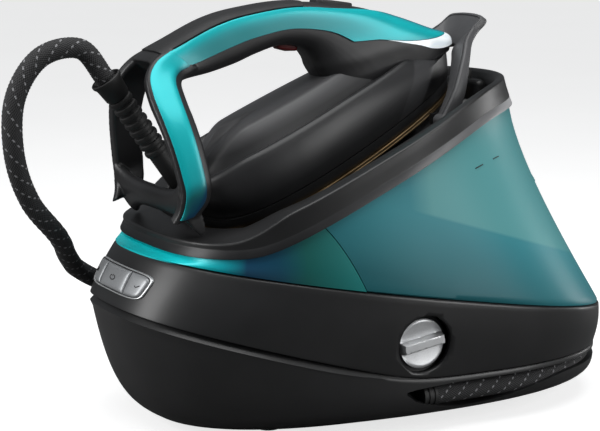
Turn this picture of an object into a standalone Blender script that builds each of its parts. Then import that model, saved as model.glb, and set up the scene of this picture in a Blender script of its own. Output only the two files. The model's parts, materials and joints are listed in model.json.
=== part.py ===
"""Steam generator iron: a base with boiler, water tank and cradle, and the iron that rests on it.

Metres, +Z up. The origin is the centre of the base's underside, one foot height above the floor. The
control panel faces -Y, the water tank is at +Y, and the descaling knob is on the +X side.
"""

import math
from collections import namedtuple

import bmesh
import bpy
from mathutils import Matrix, Vector

for old in list(bpy.data.objects):
    bpy.data.objects.remove(old, do_unlink=True)

# ---------------------------------------------------------------- driving dimensions

Outline = namedtuple("Outline", "front rear half_width widest front_power rear_power")

FOOTPRINT = Outline(-0.136, 0.164, 0.088, 0.010, 2.5, 2.3)
CREASE = Outline(-0.181, 0.203, 0.122, 0.055, 2.7, 2.6)
SEAM = Outline(-0.162, 0.208, 0.128, 0.060, 2.4, 2.4)
DECK_EDGE = Outline(-0.149, 0.143, 0.111, -0.008, 3.1, 1.95)
TRAY_LIP = Outline(-0.124, 0.132, 0.096, -0.008, 3.0, 2.2)
TRAY_MIDDLE = Outline(-0.070, 0.100, 0.050, -0.008, 2.5, 2.2)

GAP = 0.0003
WALL = 0.0025
TUB_WALL = 0.026
RING_POINTS = 44

FOOT_HEIGHT, FOOT_RADIUS = 0.003, 0.009
PLINTH_HEIGHT = 0.003
CREASE_LOW, CREASE_SLOPE = 0.036, 0.29
SEAM_FRONT_Y, SEAM_FRONT_Z, SEAM_FALL = -0.165, 0.125, 0.17
DECK_LOW, DECK_SLOPE, DECK_RISE_Y, DECK_LEVEL_Y = 0.1275, 0.48, -0.110, 0.078
RIM_HEIGHT, APRON_HEIGHT = 0.0215, 0.0105
HOUSING_BULGE = 0.0015

HOSE_RADIUS = 0.007
CHANNEL_LOW, CHANNEL_TOP, CHANNEL_DEPTH = 0.0135, 0.0325, 0.020
CHANNEL_START = math.radians(80)

PANEL_TURN = 0.335
PANEL_LOW, PANEL_HIGH = 0.16, 0.74
BUTTON_LOW, BUTTON_HIGH = 0.25, 0.65
BUTTON_GAP = 0.006
BUTTON_EDGES = {
    "button_left": (-0.290, -0.103),
    "button_power": (-0.097, 0.097),
    "button_ok": (0.103, 0.290),
}

TANK_PORT_X, TANK_PORT_Y = -0.085, 0.020
FLAP_LOW, FLAP_HIGH, FLAP_TURN = 0.575, 0.765, 0.30

IRON_HEEL = Vector((0.0, -0.124, 0.1223))
IRON_SLOPE = math.radians(24.0)
IRON_MATRIX = Matrix.Translation(IRON_HEEL) @ Matrix.Rotation(IRON_SLOPE, 4, "X")
SOLE = Outline(0.022, 0.248, 0.0555, 0.090, 3.0, 1.5)
SOLE_THICKNESS = 0.004

# The iron's body: heights above the sole and the outline at each.
BODY_LEVELS = (
    (0.0123, Outline(0.026, 0.2500, 0.0545, 0.090, 3.0, 1.5)),
    (0.0300, Outline(0.018, 0.2560, 0.0535, 0.090, 2.8, 1.6)),
    (0.0370, Outline(0.014, 0.2550, 0.0515, 0.090, 2.6, 1.6)),
    (0.0440, Outline(0.014, 0.2300, 0.0495, 0.090, 2.6, 1.7)),
    (0.0500, Outline(0.022, 0.2150, 0.0450, 0.090, 2.4, 1.8)),
    (0.0570, Outline(0.036, 0.1850, 0.0310, 0.095, 2.2, 2.0)),
    (0.0620, Outline(0.052, 0.1600, 0.0200, 0.100, 2.2, 2.0)),
)

# Stations of the handle arch from nose to rear: outer (u, w), inner (u, w) and half width.
HANDLE_STATIONS = (
    ((0.2540, 0.0320), (0.1500, 0.0400), 0.0200),
    ((0.2560, 0.0420), (0.1470, 0.0600), 0.0215),
    ((0.2415, 0.0550), (0.1455, 0.0700), 0.0220),
    ((0.2210, 0.0735), (0.1455, 0.0780), 0.0200),
    ((0.1935, 0.0955), (0.1410, 0.0880), 0.0185),
    ((0.1520, 0.1185), (0.1260, 0.0970), 0.0180),
    ((0.1125, 0.1315), (0.1070, 0.1000), 0.0180),
    ((0.0850, 0.1365), (0.0890, 0.1010), 0.0180),
    ((0.0540, 0.1360), (0.0690, 0.1040), 0.0185),
    ((0.0340, 0.1345), (0.0470, 0.1090), 0.0210),
    ((0.0190, 0.1290), (0.0390, 0.1060), 0.0240),
)
HANDLE_SIDES = 20
HANDLE_POWER = 0.55
TRIM_IN, TRIM_OUT = 0.0009, 0.0024

# Stations of a heel leg from the handle down: centre (x, u, w), depth along u and thickness.
LEG_STATIONS = (
    ((0.0120, 0.0300, 0.1215), 0.0240, 0.0110),
    ((0.0310, 0.0290, 0.1160), 0.0250, 0.0110),
    ((0.0440, 0.0245, 0.1020), 0.0250, 0.0100),
    ((0.0535, 0.0200, 0.0860), 0.0245, 0.0095),
    ((0.0580, 0.0165, 0.0660), 0.0240, 0.0090),
    ((0.0585, 0.0115, 0.0500), 0.0215, 0.0090),
    ((0.0550, 0.0020, 0.0385), 0.0170, 0.0090),
    ((0.0520, -0.0140, 0.0325), 0.0080, 0.0070),
)
LEG_SIDES = 12
LEG_POWER = 0.6

BOOT_TOP = Vector((0.0, 0.0010, 0.1330))
BOOT_FOOT = Vector((0.0, 0.0200, 0.0400))
BOOT_RADIUS = 0.0088

TRIGGER_SIZE = Vector((0.0100, 0.0165, 0.0110))
TRIGGER_PROUD, TRIGGER_TRAVEL = 0.0035, 0.0030
BOOST_SIZE = Vector((0.0165, 0.0300, 0.0040))
BOOST_PROUD, BOOST_TRAVEL = 0.0018, 0.0015
# Where these two sit: the station, its outer (0) or inner (1) line, and the share of the way to the next.
TRIGGER_SPOT = (4, 1, 0.50)
BOOST_SPOT = (4, 0, 0.35)

KNOB_Y, KNOB_Z, KNOB_RADIUS, KNOB_FACE = 0.004, 0.063, 0.0175, 0.1215
BOILER_RADIUS, BOILER_FLOOR, BOILER_TOP = 0.056, 0.022, 0.078

LOCK_PIVOT = Vector((0.0, 0.062, 0.2065))
LOCK_LEAN = math.radians(33.0)
LOCK_THICKNESS = 0.0065

# ---------------------------------------------------------------- materials

Style = namedtuple("Style", "colour roughness metallic transmission", defaults=(0.0,))

GLOSS_BLACK = Style((0.016, 0.016, 0.017), 0.22, 0.0)
SATIN_BLACK = Style((0.028, 0.028, 0.029), 0.45, 0.0)
SOFT_GREY = Style((0.070, 0.071, 0.073), 0.50, 0.0)
RUBBER_BLACK = Style((0.012, 0.012, 0.012), 0.80, 0.0)
CYAN = Style((0.008, 0.500, 0.530), 0.25, 0.8)
TEAL_CLEAR = Style((0.060, 0.330, 0.350), 0.08, 0.0, 0.9)
SILVER = Style((0.620, 0.630, 0.640), 0.28, 0.9)
CASTING = Style((0.420, 0.420, 0.410), 0.50, 0.9)
STEEL = Style((0.480, 0.480, 0.470), 0.30, 1.0)
GOLD_BROWN = Style((0.200, 0.130, 0.060), 0.30, 0.9)
BRASS = Style((0.600, 0.430, 0.150), 0.35, 1.0)
DARK_RED = Style((0.100, 0.002, 0.002), 0.35, 0.0)
WHITE_CLEAR = Style((0.850, 0.880, 0.900), 0.20, 0.0)
SILICONE = Style((0.300, 0.310, 0.320), 0.70, 0.0)
BOARD_GREEN = Style((0.010, 0.120, 0.040), 0.50, 0.0)
WOVEN_BLACK = Style((0.020, 0.020, 0.021), 0.90, 0.0)


def finish(obj, style):
    """Give the object its own Principled material in this style."""
    material = bpy.data.materials.new(obj.name)
    material.use_nodes = True
    shader = material.node_tree.nodes["Principled BSDF"]
    shader.inputs["Base Color"].default_value = (*style.colour, 1.0)
    shader.inputs["Roughness"].default_value = style.roughness
    shader.inputs["Metallic"].default_value = style.metallic
    shader.inputs["Transmission Weight"].default_value = style.transmission
    obj.data.materials.clear()
    obj.data.materials.append(material)


# ---------------------------------------------------------------- collections, frames and objects

parts = bpy.data.collections.new("steam_generator_iron")
cutters = bpy.data.collections.new("cutters")
for collection in (parts, cutters):
    bpy.context.scene.collection.children.link(collection)


def frame(name, matrix, parent=None):
    """An empty that carries the pieces of one body."""
    empty = bpy.data.objects.new(name, None)
    empty.parent = parent
    empty.matrix_local = matrix
    parts.objects.link(empty)
    return empty


def place(obj, style, parent):
    """Link a new object as a part or, without a style, as a cutter."""
    obj.parent = parent
    if style is None:
        cutters.objects.link(obj)
        obj.hide_render = True
        obj.display_type = "WIRE"
    else:
        parts.objects.link(obj)
        finish(obj, style)
    return obj


def add_mesh(name, bm, style, parent=None):
    """Turn a bmesh into a named object."""
    bmesh.ops.recalc_face_normals(bm, faces=bm.faces)
    mesh = bpy.data.meshes.new(name)
    bm.to_mesh(mesh)
    bm.free()
    mesh.shade_smooth()
    mesh.set_sharp_from_angle(angle=math.radians(35))
    return place(bpy.data.objects.new(name, mesh), style, parent)


def boolean(obj, operation, other):
    modifier = obj.modifiers.new(f"{operation.lower()} {other.name}", "BOOLEAN")
    modifier.operation = operation
    modifier.object = other
    return modifier


def cut(obj, *tools):
    for tool in tools:
        boolean(obj, "DIFFERENCE", tool)


def join(obj, *tools):
    for tool in tools:
        boolean(obj, "UNION", tool)


# ---------------------------------------------------------------- outlines and heights


def soft(value, radius):
    """A ramp that is 0 below zero and follows value above it, rounded over the radius."""
    return 0.5 * (value + math.hypot(value, radius))


def outline_point(outline, angle, grow=0.0):
    """A point of the outline: angle 0 is the front centre and a quarter turn the widest point on +X."""
    along, across = math.cos(angle), math.sin(angle)
    front_half = along > 0
    power = 2.0 / (outline.front_power if front_half else outline.rear_power)
    reach = outline.widest - outline.front if front_half else outline.rear - outline.widest
    x = (outline.half_width + grow) * math.copysign(abs(across) ** power, across)
    y = outline.widest - (reach + grow) * math.copysign(abs(along) ** power, along)
    return x, y


def angle_at(outline, y, grow=0.0):
    """The angle on +X at which the front half of an outline has this y."""
    share = (outline.widest - y) / (outline.widest - outline.front + grow)
    return math.acos(max(-1.0, min(1.0, share ** (outline.front_power / 2.0))))


def mix(a, b, share):
    return a + (b - a) * share


def mix_outline(a, b, share):
    return Outline(*(mix(one, other, share) for one, other in zip(a, b)))


def crease_z(y):
    return CREASE_LOW + CREASE_SLOPE * soft(-y, 0.02)


def seam_z(y):
    return SEAM_FRONT_Z - SEAM_FALL * (y - SEAM_FRONT_Y)


def deck_z(y):
    return DECK_LOW + DECK_SLOPE * (soft(y - DECK_RISE_Y, 0.015) - soft(y - DECK_LEVEL_Y, 0.03))


def sole_z(y):
    return IRON_HEEL.z + math.tan(IRON_SLOPE) * (y - IRON_HEEL.y)


def rim_height(y):
    """The rim is low across the front apron and full height along the sides."""
    share = max(0.0, min(1.0, (y + 0.130) / 0.045))
    return mix(APRON_HEIGHT, RIM_HEIGHT, share * share * (3.0 - 2.0 * share))


def ring(outline, height, grow=0.0, count=RING_POINTS):
    """A closed ring of points on an outline, at a height that depends on y."""
    points = []
    for i in range(count):
        x, y = outline_point(outline, 2.0 * math.pi * i / count, grow)
        points.append(Vector((x, y, height(y) if callable(height) else height)))
    return points


# ---------------------------------------------------------------- solids


def bridge(bm, lower, upper):
    count = len(lower)
    for i in range(count):
        bm.faces.new((lower[i], lower[(i + 1) % count], upper[(i + 1) % count], upper[i]))


def cap(bm, verts):
    """Close a ring with a fan, because the ring need not be flat."""
    centre = bm.verts.new(sum((v.co for v in verts), Vector()) / len(verts))
    for i, vert in enumerate(verts):
        bm.faces.new((vert, verts[(i + 1) % len(verts)], centre))


def loft(name, rings, style, parent=None):
    """A solid through the rings, closed at both ends."""
    bm = bmesh.new()
    rows = [[bm.verts.new(point) for point in points] for points in rings]
    for lower, upper in zip(rows, rows[1:]):
        bridge(bm, lower, upper)
    cap(bm, rows[0])
    cap(bm, rows[-1])
    return add_mesh(name, bm, style, parent)


def slab(name, outer, inner, style, parent=None):
    """A sheet between two grids of points that have the same rows and columns."""
    bm = bmesh.new()
    top = [[bm.verts.new(point) for point in row] for row in outer]
    low = [[bm.verts.new(point) for point in row] for row in inner]
    rows, columns = len(top), len(top[0])
    for grid in (top, low):
        for i in range(rows - 1):
            for j in range(columns - 1):
                bm.faces.new((grid[i][j], grid[i][j + 1], grid[i + 1][j + 1], grid[i + 1][j]))
    border = [(0, j) for j in range(columns)] + [(i, columns - 1) for i in range(1, rows)]
    border += [(rows - 1, j) for j in range(columns - 2, -1, -1)] + [(i, 0) for i in range(rows - 2, 0, -1)]
    for (i, j), (k, m) in zip(border, border[1:] + border[:1]):
        bm.faces.new((top[i][j], top[k][m], low[k][m], low[i][j]))
    return add_mesh(name, bm, style, parent)


def block(name, size, matrix, style, parent=None, bevel=0.0):
    """A box whose centre and turn are given by the matrix."""
    bm = bmesh.new()
    bmesh.ops.create_cube(bm, size=1.0, matrix=Matrix.Diagonal((*size, 1.0)))
    if bevel:
        bmesh.ops.bevel(bm, geom=bm.edges[:], offset=bevel, segments=2, affect="EDGES", profile=0.5)
    obj = add_mesh(name, bm, style, parent)
    obj.matrix_local = matrix
    return obj


def facing(point, direction):
    """A matrix at the point whose Z axis looks along the direction."""
    return Matrix.Translation(point) @ Vector(direction).to_track_quat("Z", "Y").to_matrix().to_4x4()


def rod(name, start, end, radius, style, parent=None, sides=20):
    """A cylinder between two points."""
    start, end = Vector(start), Vector(end)
    bm = bmesh.new()
    bmesh.ops.create_cone(
        bm, cap_ends=True, segments=sides, radius1=radius, radius2=radius, depth=(end - start).length
    )
    obj = add_mesh(name, bm, style, parent)
    obj.matrix_local = facing((start + end) / 2, end - start)
    return obj


def bore(name, centre, half, radius, parent=None, sides=20):
    """The tool that drills a hole: a cylinder that reaches this far both ways from its centre."""
    centre, half = Vector(centre), Vector(half)
    return rod(name, centre - half, centre + half, radius, None, parent, sides)


def turned(name, profile, matrix, style, parent=None, steps=20):
    """A turned piece from (radius, height) points that run down the outer side, about the matrix's Z."""
    mesh = bpy.data.meshes.new(name)
    mesh.from_pydata([(r, 0.0, z) for r, z in profile], [(i, i + 1) for i in range(len(profile) - 1)], [])
    obj = place(bpy.data.objects.new(name, mesh), style, parent)
    obj.matrix_local = matrix
    screw = obj.modifiers.new("turn", "SCREW")
    screw.steps = screw.render_steps = steps
    screw.use_merge_vertices = True
    screw.merge_threshold = 1e-5
    screw.use_smooth_shade = True
    return obj


def washer(name, inner, outer, thickness, matrix, style, parent=None, steps=20):
    """A ring whose closed profile is turned about the matrix's Z."""
    half = thickness / 2
    profile = [(inner, half), (outer, half), (outer, -half), (inner, -half), (inner, half)]
    return turned(name, profile, matrix, style, parent, steps)


def set_origin(obj, point):
    """Move an object's origin without moving its shape."""
    obj.data.transform(Matrix.Translation(-point))
    obj.location = point


def smooth_path(points, steps):
    """Catmull-Rom points through the given ones."""
    points = [Vector(p) for p in points]
    ends = [2 * points[0] - points[1], *points, 2 * points[-1] - points[-2]]
    path = []
    for a, b, c, d in zip(ends, ends[1:], ends[2:], ends[3:]):
        for k in range(steps):
            t = k / steps
            path.append(0.5 * (2 * b + (c - a) * t + (2 * a - 5 * b + 4 * c - d) * t**2
                               + (3 * b - a - 3 * c + d) * t**3))
    return path + [points[-1]]


def wire(name, path, radius, style, parent=None):
    """A round wire, tube or hose along a path of points."""
    curve = bpy.data.curves.new(name, "CURVE")
    curve.dimensions = "3D"
    curve.bevel_depth = radius
    curve.bevel_resolution = 2
    curve.use_fill_caps = True
    spline = curve.splines.new("POLY")
    spline.points.add(len(path) - 1)
    for point, spot in zip(spline.points, path):
        point.co = (*spot, 1.0)
    return place(bpy.data.objects.new(name, curve), style, parent)


def coil(name, start, direction, radius, wire_radius, turns, length, style, parent=None):
    """A compression spring from start along the direction."""
    matrix = facing(start, direction)
    steps = 8
    path = []
    for i in range(turns * steps + 1):
        turn = 2 * math.pi * i / steps
        height = length * i / (turns * steps)
        path.append(matrix @ Vector((radius * math.cos(turn), radius * math.sin(turn), height)))
    return wire(name, path, wire_radius, style, parent)


# ---------------------------------------------------------------- base casings


def hull_ring(share, grow=0.0):
    """A ring on the lower hull, from the footprint at 0 to the crease at 1."""
    full = 1.0 - (1.0 - share) ** 6
    front = mix(FOOTPRINT.front, CREASE.front, share**0.42)
    level = mix_outline(FOOTPRINT, CREASE, full)._replace(front=front)
    return ring(level, lambda y: mix(PLINTH_HEIGHT, crease_z(y) - GAP, share), grow)


def base_tub():
    """The lower hull: a thick-walled cup with the hose channel cut round its sides and back."""
    outer = [ring(FOOTPRINT, 0.0, -0.038), ring(FOOTPRINT, PLINTH_HEIGHT, -0.036)]
    outer.append(ring(FOOTPRINT, PLINTH_HEIGHT, -0.003))
    outer += [hull_ring(share) for share in (0.04, 0.2, 0.4, 0.7, 1.0)]
    hollow = [
        ring(FOOTPRINT, PLINTH_HEIGHT + WALL, -TUB_WALL),
        ring(mix_outline(FOOTPRINT, CREASE, 0.30), 0.020, -TUB_WALL),
        ring(mix_outline(FOOTPRINT, CREASE, 0.60), lambda y: crease_z(y) + 0.010, -TUB_WALL),
    ]
    tub = loft("base_tub", outer, GLOSS_BLACK)
    cut(tub, loft("tub_hollow", hollow, None), hose_channel())
    return tub


def channel_point(angle, depth):
    """A point on the channel's course, this deep inside the crease outline."""
    return outline_point(CREASE, angle, -depth)


def hose_channel():
    """The tool that cuts the channel: a square bar that follows the hull from side to back to side."""
    stations = 24
    rings = []
    for i in range(stations + 1):
        angle = mix(CHANNEL_START, 2 * math.pi - CHANNEL_START, i / stations)
        inner = channel_point(angle, CHANNEL_DEPTH)
        outer = channel_point(angle, -0.008)
        rings.append([
            Vector((*inner, CHANNEL_LOW)), Vector((*outer, CHANNEL_LOW)),
            Vector((*outer, CHANNEL_TOP)), Vector((*inner, CHANNEL_TOP)),
        ])
    return loft("hose_channel", rings, None)


def side_z(y, share):
    """The height on the housing's side, from the crease at 0 to the seam at 1."""
    return mix(crease_z(y), seam_z(y), share)


def housing_ring(share, grow=0.0):
    return ring(mix_outline(CREASE, SEAM, share), lambda y: side_z(y, share), grow)


def base_housing():
    """The upper band of the base, closed on top under the tank, with openings for panel and knob."""
    outer = [housing_ring(0.0), housing_ring(0.5, HOUSING_BULGE), housing_ring(1.0)]
    hollow = [
        ring(CREASE, lambda y: crease_z(y) - 0.002, -WALL),
        housing_ring(0.5, -WALL),
        ring(SEAM, lambda y: seam_z(y) - WALL, -WALL - 0.001),
    ]
    housing = loft("base_housing", outer, GLOSS_BLACK)
    edge = 0.006
    opening = panel_patch(
        "panel_opening", -PANEL_TURN - edge, PANEL_TURN + edge, PANEL_LOW - 0.02, PANEL_HIGH + 0.02,
        0.004, -0.010, None,
    )
    knob_axis = Vector((0.115, KNOB_Y, KNOB_Z))
    port = Vector((TANK_PORT_X, TANK_PORT_Y, 0.100))
    cut(
        housing,
        loft("housing_hollow", hollow, None),
        opening,
        bore("knob_bore", knob_axis, (0.020, 0, 0), KNOB_RADIUS + 0.0040, sides=32),
        bore("outlet_bore", port, (0, 0, 0.020), 0.0088),
    )
    return housing


def housing_point(angle, share, out):
    """A point of the housing's outer side, moved out from it."""
    bulge = HOUSING_BULGE * math.sin(math.pi * share)
    x, y = outline_point(mix_outline(CREASE, SEAM, share), angle, out + bulge)
    return Vector((x, y, side_z(y, share)))


def panel_patch(name, left, right, low, high, out, depth, style, parent=None, columns=6):
    """A slab of the control panel between two angles and two heights on the housing's side."""
    angles = [mix(left, right, i / columns) for i in range(columns + 1)]
    shares = [mix(low, high, j / 2) for j in range(3)]
    def grid(offset):
        return [[housing_point(angle, share, offset) for angle in angles] for share in shares]
    return slab(name, grid(out), grid(depth), style, parent)


def tank_front_y(share):
    """The tank's front edge leans back towards its foot."""
    return mix(-0.040, -0.066, share)


def band_outline(share):
    """The tank and the accent cover flare from the deck edge (1) down to the seam (0)."""
    return mix_outline(DECK_EDGE, SEAM, (1.0 - share) ** 1.4)


def band_point(angle, share, grow=0.0):
    x, y = outline_point(band_outline(share), angle, grow)
    low, high = seam_z(y) + GAP, deck_z(y) - GAP
    return Vector((x, y, mix(low, high, share)))


def accent_cover():
    """The painted band round the front and sides, between the housing and the deck."""
    levels, columns = 4, 28
    def grid(grow):
        rows = []
        for j in range(levels + 1):
            share = j / levels
            end = angle_at(band_outline(share), tank_front_y(share) - GAP, grow)
            rows.append([band_point(mix(-end, end, i / columns), share, grow) for i in range(columns + 1)])
        return rows
    return slab("accent_cover", grid(0.0), grid(-WALL), CYAN)


def deck_ring(height, grow):
    return ring(DECK_EDGE, lambda y: deck_z(y) + height(y), grow)


def tray_lip_z(y):
    return max(deck_z(y) + rim_height(y) - 0.001, 0.1420 + 0.25 * (y - TRAY_LIP.front))


def cradle_deck():
    """The black deck: a rim, a sloping apron at the front and a tray that the iron lies in."""
    outer = [
        deck_ring(lambda y: 0.0, 0.0),
        deck_ring(lambda y: 0.0030, 0.0018),
        deck_ring(lambda y: rim_height(y) - 0.0050, 0.0002),
        deck_ring(lambda y: rim_height(y) - 0.0012, -0.0018),
        deck_ring(rim_height, -0.0055),
        ring(TRAY_LIP, tray_lip_z, 0.0),
        ring(TRAY_LIP, tray_floor_z, -0.0080),
        ring(TRAY_MIDDLE, tray_floor_z),
    ]
    under = [
        deck_ring(lambda y: 0.0, -WALL),
        deck_ring(lambda y: rim_height(y) - 0.0060, -WALL),
        ring(TRAY_LIP, lambda y: tray_lip_z(y) - 0.0035, 0.0025),
        ring(TRAY_LIP, lambda y: tray_floor_z(y) - WALL, -0.0050),
        ring(TRAY_MIDDLE, lambda y: tray_floor_z(y) - WALL),
    ]
    bm = bmesh.new()
    rows = [[bm.verts.new(point) for point in points] for points in outer]
    lows = [[bm.verts.new(point) for point in points] for points in under]
    for stack in (rows, lows):
        for lower, upper in zip(stack, stack[1:]):
            bridge(bm, lower, upper)
        cap(bm, stack[-1])
    bridge(bm, rows[0], lows[0])
    return add_mesh("cradle_deck", bm, SATIN_BLACK)


def tray_floor_z(y):
    """The floor follows the sole and levels off behind its tip."""
    return sole_z(y) - 0.0042 - math.tan(IRON_SLOPE) * soft(y - 0.100, 0.010)


# ---------------------------------------------------------------- water tank


def tank_ring(share, inset, top=None):
    """A ring round the tank: its flared back and sides, then the straight front wall."""
    outline = band_outline(share)
    front = tank_front_y(share) + GAP + inset
    end = angle_at(outline, front, -inset)
    sweep, across = 34, 5
    angles = [mix(end, 2 * math.pi - end, i / sweep) for i in range(sweep + 1)]
    points = [band_point(angle, share, -inset) for angle in angles]
    left, right = points[-1], points[0]
    points += [left.lerp(right, i / across) for i in range(1, across)]
    if top is not None:
        points = [Vector((p.x, p.y, top(p.y))) for p in points]
    return points


def tank_top_z(y):
    """The underside of the tray, less a little clearance."""
    return tray_floor_z(y) - WALL - 0.0012


def water_tank(body):
    levels = (0.0, 0.25, 0.5, 0.75, 1.0)
    outer = [tank_ring(share, 0.0) for share in levels]
    hollow = [tank_ring(0.0, WALL, lambda y: seam_z(y) + 0.003)]
    hollow += [tank_ring(share, WALL) for share in (0.25, 0.5, 0.75)]
    hollow.append(tank_ring(0.88, WALL, lambda y: min(tank_top_z(y), deck_z(y) - 0.004) - WALL))
    tray_room = [
        ring(TRAY_LIP, tank_top_z, -0.0035),
        ring(TRAY_LIP, lambda y: tank_top_z(y) + 0.040, 0.0050),
    ]
    tank = loft("water_tank", outer, TEAL_CLEAR, body)
    port = Vector((TANK_PORT_X, TANK_PORT_Y, seam_z(TANK_PORT_Y)))
    cut(
        tank,
        loft("tray_room", tray_room, None, body),
        loft("tank_hollow", hollow, None, body),
        bore("tank_outlet", port, (0, 0, 0.010), 0.0062, body),
        rear_patch(
            "filler_opening", FLAP_TURN - 0.04, FLAP_LOW + 0.025, FLAP_HIGH - 0.025, 0.006, -0.010, None, body
        ),
    )
    return tank


def rear_patch(name, half_turn, low, high, out, depth, style, parent=None):
    """A slab on the back of the tank, centred on the middle plane."""
    columns = 6
    angles = [math.pi + mix(-half_turn, half_turn, i / columns) for i in range(columns + 1)]
    shares = [mix(low, high, j / 2) for j in range(3)]
    def grid(grow):
        return [[band_point(angle, share, grow) for angle in angles] for share in shares]
    return slab(name, grid(out), grid(depth), style, parent)


# ---------------------------------------------------------------- the iron, in its own frame


def iron_ring(outline, height, grow=0.0):
    """A level ring of the iron, at a height above its sole."""
    return ring(outline, height, grow, 40)


def soleplate(body):
    rings = [
        iron_ring(SOLE, 0.0, -0.0012),
        iron_ring(SOLE, 0.0012, 0.0),
        iron_ring(SOLE, SOLE_THICKNESS, 0.0),
    ]
    return loft("soleplate", rings, GOLD_BROWN, body)


def steam_chamber(body):
    shape = Outline(0.034, 0.210, 0.044, 0.090, 3.0, 1.6)
    rings = [
        iron_ring(shape, SOLE_THICKNESS + GAP),
        iron_ring(shape, 0.014),
        iron_ring(shape, 0.017, -0.004),
    ]
    return loft("steam_chamber", rings, CASTING, body)


def heat_shield(body):
    """The lower skirt round the sole."""
    outer = [iron_ring(SOLE, SOLE_THICKNESS + GAP, -0.0015), iron_ring(SOLE, 0.0120, -0.0005)]
    hollow = [iron_ring(SOLE, 0.0, -0.0050), iron_ring(SOLE, 0.0200, -0.0040)]
    shield = loft("heat_shield", outer, GLOSS_BLACK, body)
    cut(shield, loft("shield_hollow", hollow, None, body))
    return shield


def iron_shell_rings(grow, raise_by=0.0):
    return [iron_ring(shape, height + raise_by, grow) for height, shape in BODY_LEVELS]


def iron_shell(body):
    shell = loft("iron_shell", iron_shell_rings(0.0), SATIN_BLACK, body)
    hollow = loft("shell_hollow", iron_shell_rings(-WALL, -WALL), None, body)
    cut(shell, hollow, rod("boot_bore", BOOT_TOP, BOOT_FOOT, BOOT_RADIUS + 0.0004, None, body))
    return shell


def rounded(value, power):
    return math.copysign(abs(value) ** power, value)


def handle_point(index, turn, grow=0.0):
    """A point of the handle's skin, in twentieths of a turn: 0 is its outer side and 5 its +X side."""
    (outer_u, outer_w), (inner_u, inner_w), half_width = HANDLE_STATIONS[index]
    outer, inner = Vector((0.0, outer_u, outer_w)), Vector((0.0, inner_u, inner_w))
    half = (outer - inner) / 2
    angle = 2 * math.pi * turn / HANDLE_SIDES
    point = (outer + inner) / 2
    point += half.normalized() * (half.length + grow) * rounded(math.cos(angle), HANDLE_POWER)
    point.x += (half_width + grow) * rounded(math.sin(angle), HANDLE_POWER)
    return point


def handle_patch(name, stations, turns, style, body):
    """A thin piece that lies on the handle's skin."""
    def grid(grow):
        return [[handle_point(i, turn, grow) for turn in turns] for i in stations]
    return slab(name, grid(TRIM_OUT), grid(TRIM_IN), style, body)


def leg_point(index, side, turn, grow=0.0):
    """A point of a leg's skin, in twelfths of a turn: 0 is its front edge and 3 its outer face."""
    centres = [Vector(centre) for centre, _, _ in LEG_STATIONS]
    _, depth, thickness = LEG_STATIONS[index]
    course = (centres[min(index + 1, len(centres) - 1)] - centres[max(index - 1, 0)]).normalized()
    front = Vector((0.0, 1.0, 0.0))
    front = (front - course * front.dot(course)).normalized()
    out = front.cross(course)
    if out.x < 0:
        out.negate()
    angle = 2 * math.pi * turn / LEG_SIDES
    point = centres[index] + front * (depth / 2 + grow) * rounded(math.cos(angle), LEG_POWER)
    point += out * (thickness / 2 + grow) * rounded(math.sin(angle), LEG_POWER)
    return Vector((side * point.x, point.y, point.z))


def heel_leg(name, side, body):
    """The tool that adds one leg of the heel frame to the handle."""
    stations = range(len(LEG_STATIONS))
    return loft(name, [[leg_point(i, side, k) for k in range(LEG_SIDES)] for i in stations], None, body)


def on_handle(index, side, share):
    """A matrix on the handle's outer (0) or inner (1) line, between two stations; Z looks into the handle."""
    def at(station, which):
        u, w = HANDLE_STATIONS[station][which]
        return Vector((0.0, u, w))
    start, end = at(index, side), at(index + 1, side)
    into = (at(index, 1 - side) + at(index + 1, 1 - side)) / 2 - (start + end) / 2
    tangent = (end - start).normalized()
    return facing(start.lerp(end, share), into - tangent * into.dot(tangent))


def sunk(matrix, depth):
    return matrix @ Matrix.Translation((0.0, 0.0, depth))


def iron_handle(body):
    """The handle arch with the two legs of the heel frame and the bar between their feet."""
    stations = range(len(HANDLE_STATIONS))
    rings = [[handle_point(i, turn) for turn in range(HANDLE_SIDES)] for i in stations]
    handle = loft("iron_handle", rings, SATIN_BLACK, body)
    bar = Vector((0.0540, 0.0010, 0.0400))
    join(
        handle,
        heel_leg("heel_leg_right", 1, body),
        heel_leg("heel_leg_left", -1, body),
        rod("heel_bar", (-bar.x, bar.y, bar.z), bar, 0.0050, None, body, sides=12),
    )
    trigger_room = TRIGGER_SIZE + Vector((0.0010, 0.0010, 0.0250))
    boost_room = BOOST_SIZE + Vector((0.0010, 0.0010, 0.0045))
    cut(
        handle,
        loft("body_clearance", iron_shell_rings(GAP, GAP), None, body),
        block("trigger_pocket", trigger_room, on_handle(*TRIGGER_SPOT), None, body),
        block("boost_pocket", boost_room, on_handle(*BOOST_SPOT), None, body),
    )
    return handle


def handle_trim(name, side, body):
    """The painted strip along one side of the handle."""
    turns = [side * turn for turn in (3, 4, 5)]
    return handle_patch(name, range(2, len(HANDLE_STATIONS) - 2), turns, CYAN, body)


def leg_trim(name, side, body):
    """The painted strip down the outer face of one leg."""
    stations = range(2, len(LEG_STATIONS) - 1)
    def grid(grow):
        return [[leg_point(i, side, turn, grow) for turn in (2, 3, 4)] for i in stations]
    return slab(name, grid(TRIM_OUT), grid(TRIM_IN), CYAN, body)


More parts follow.
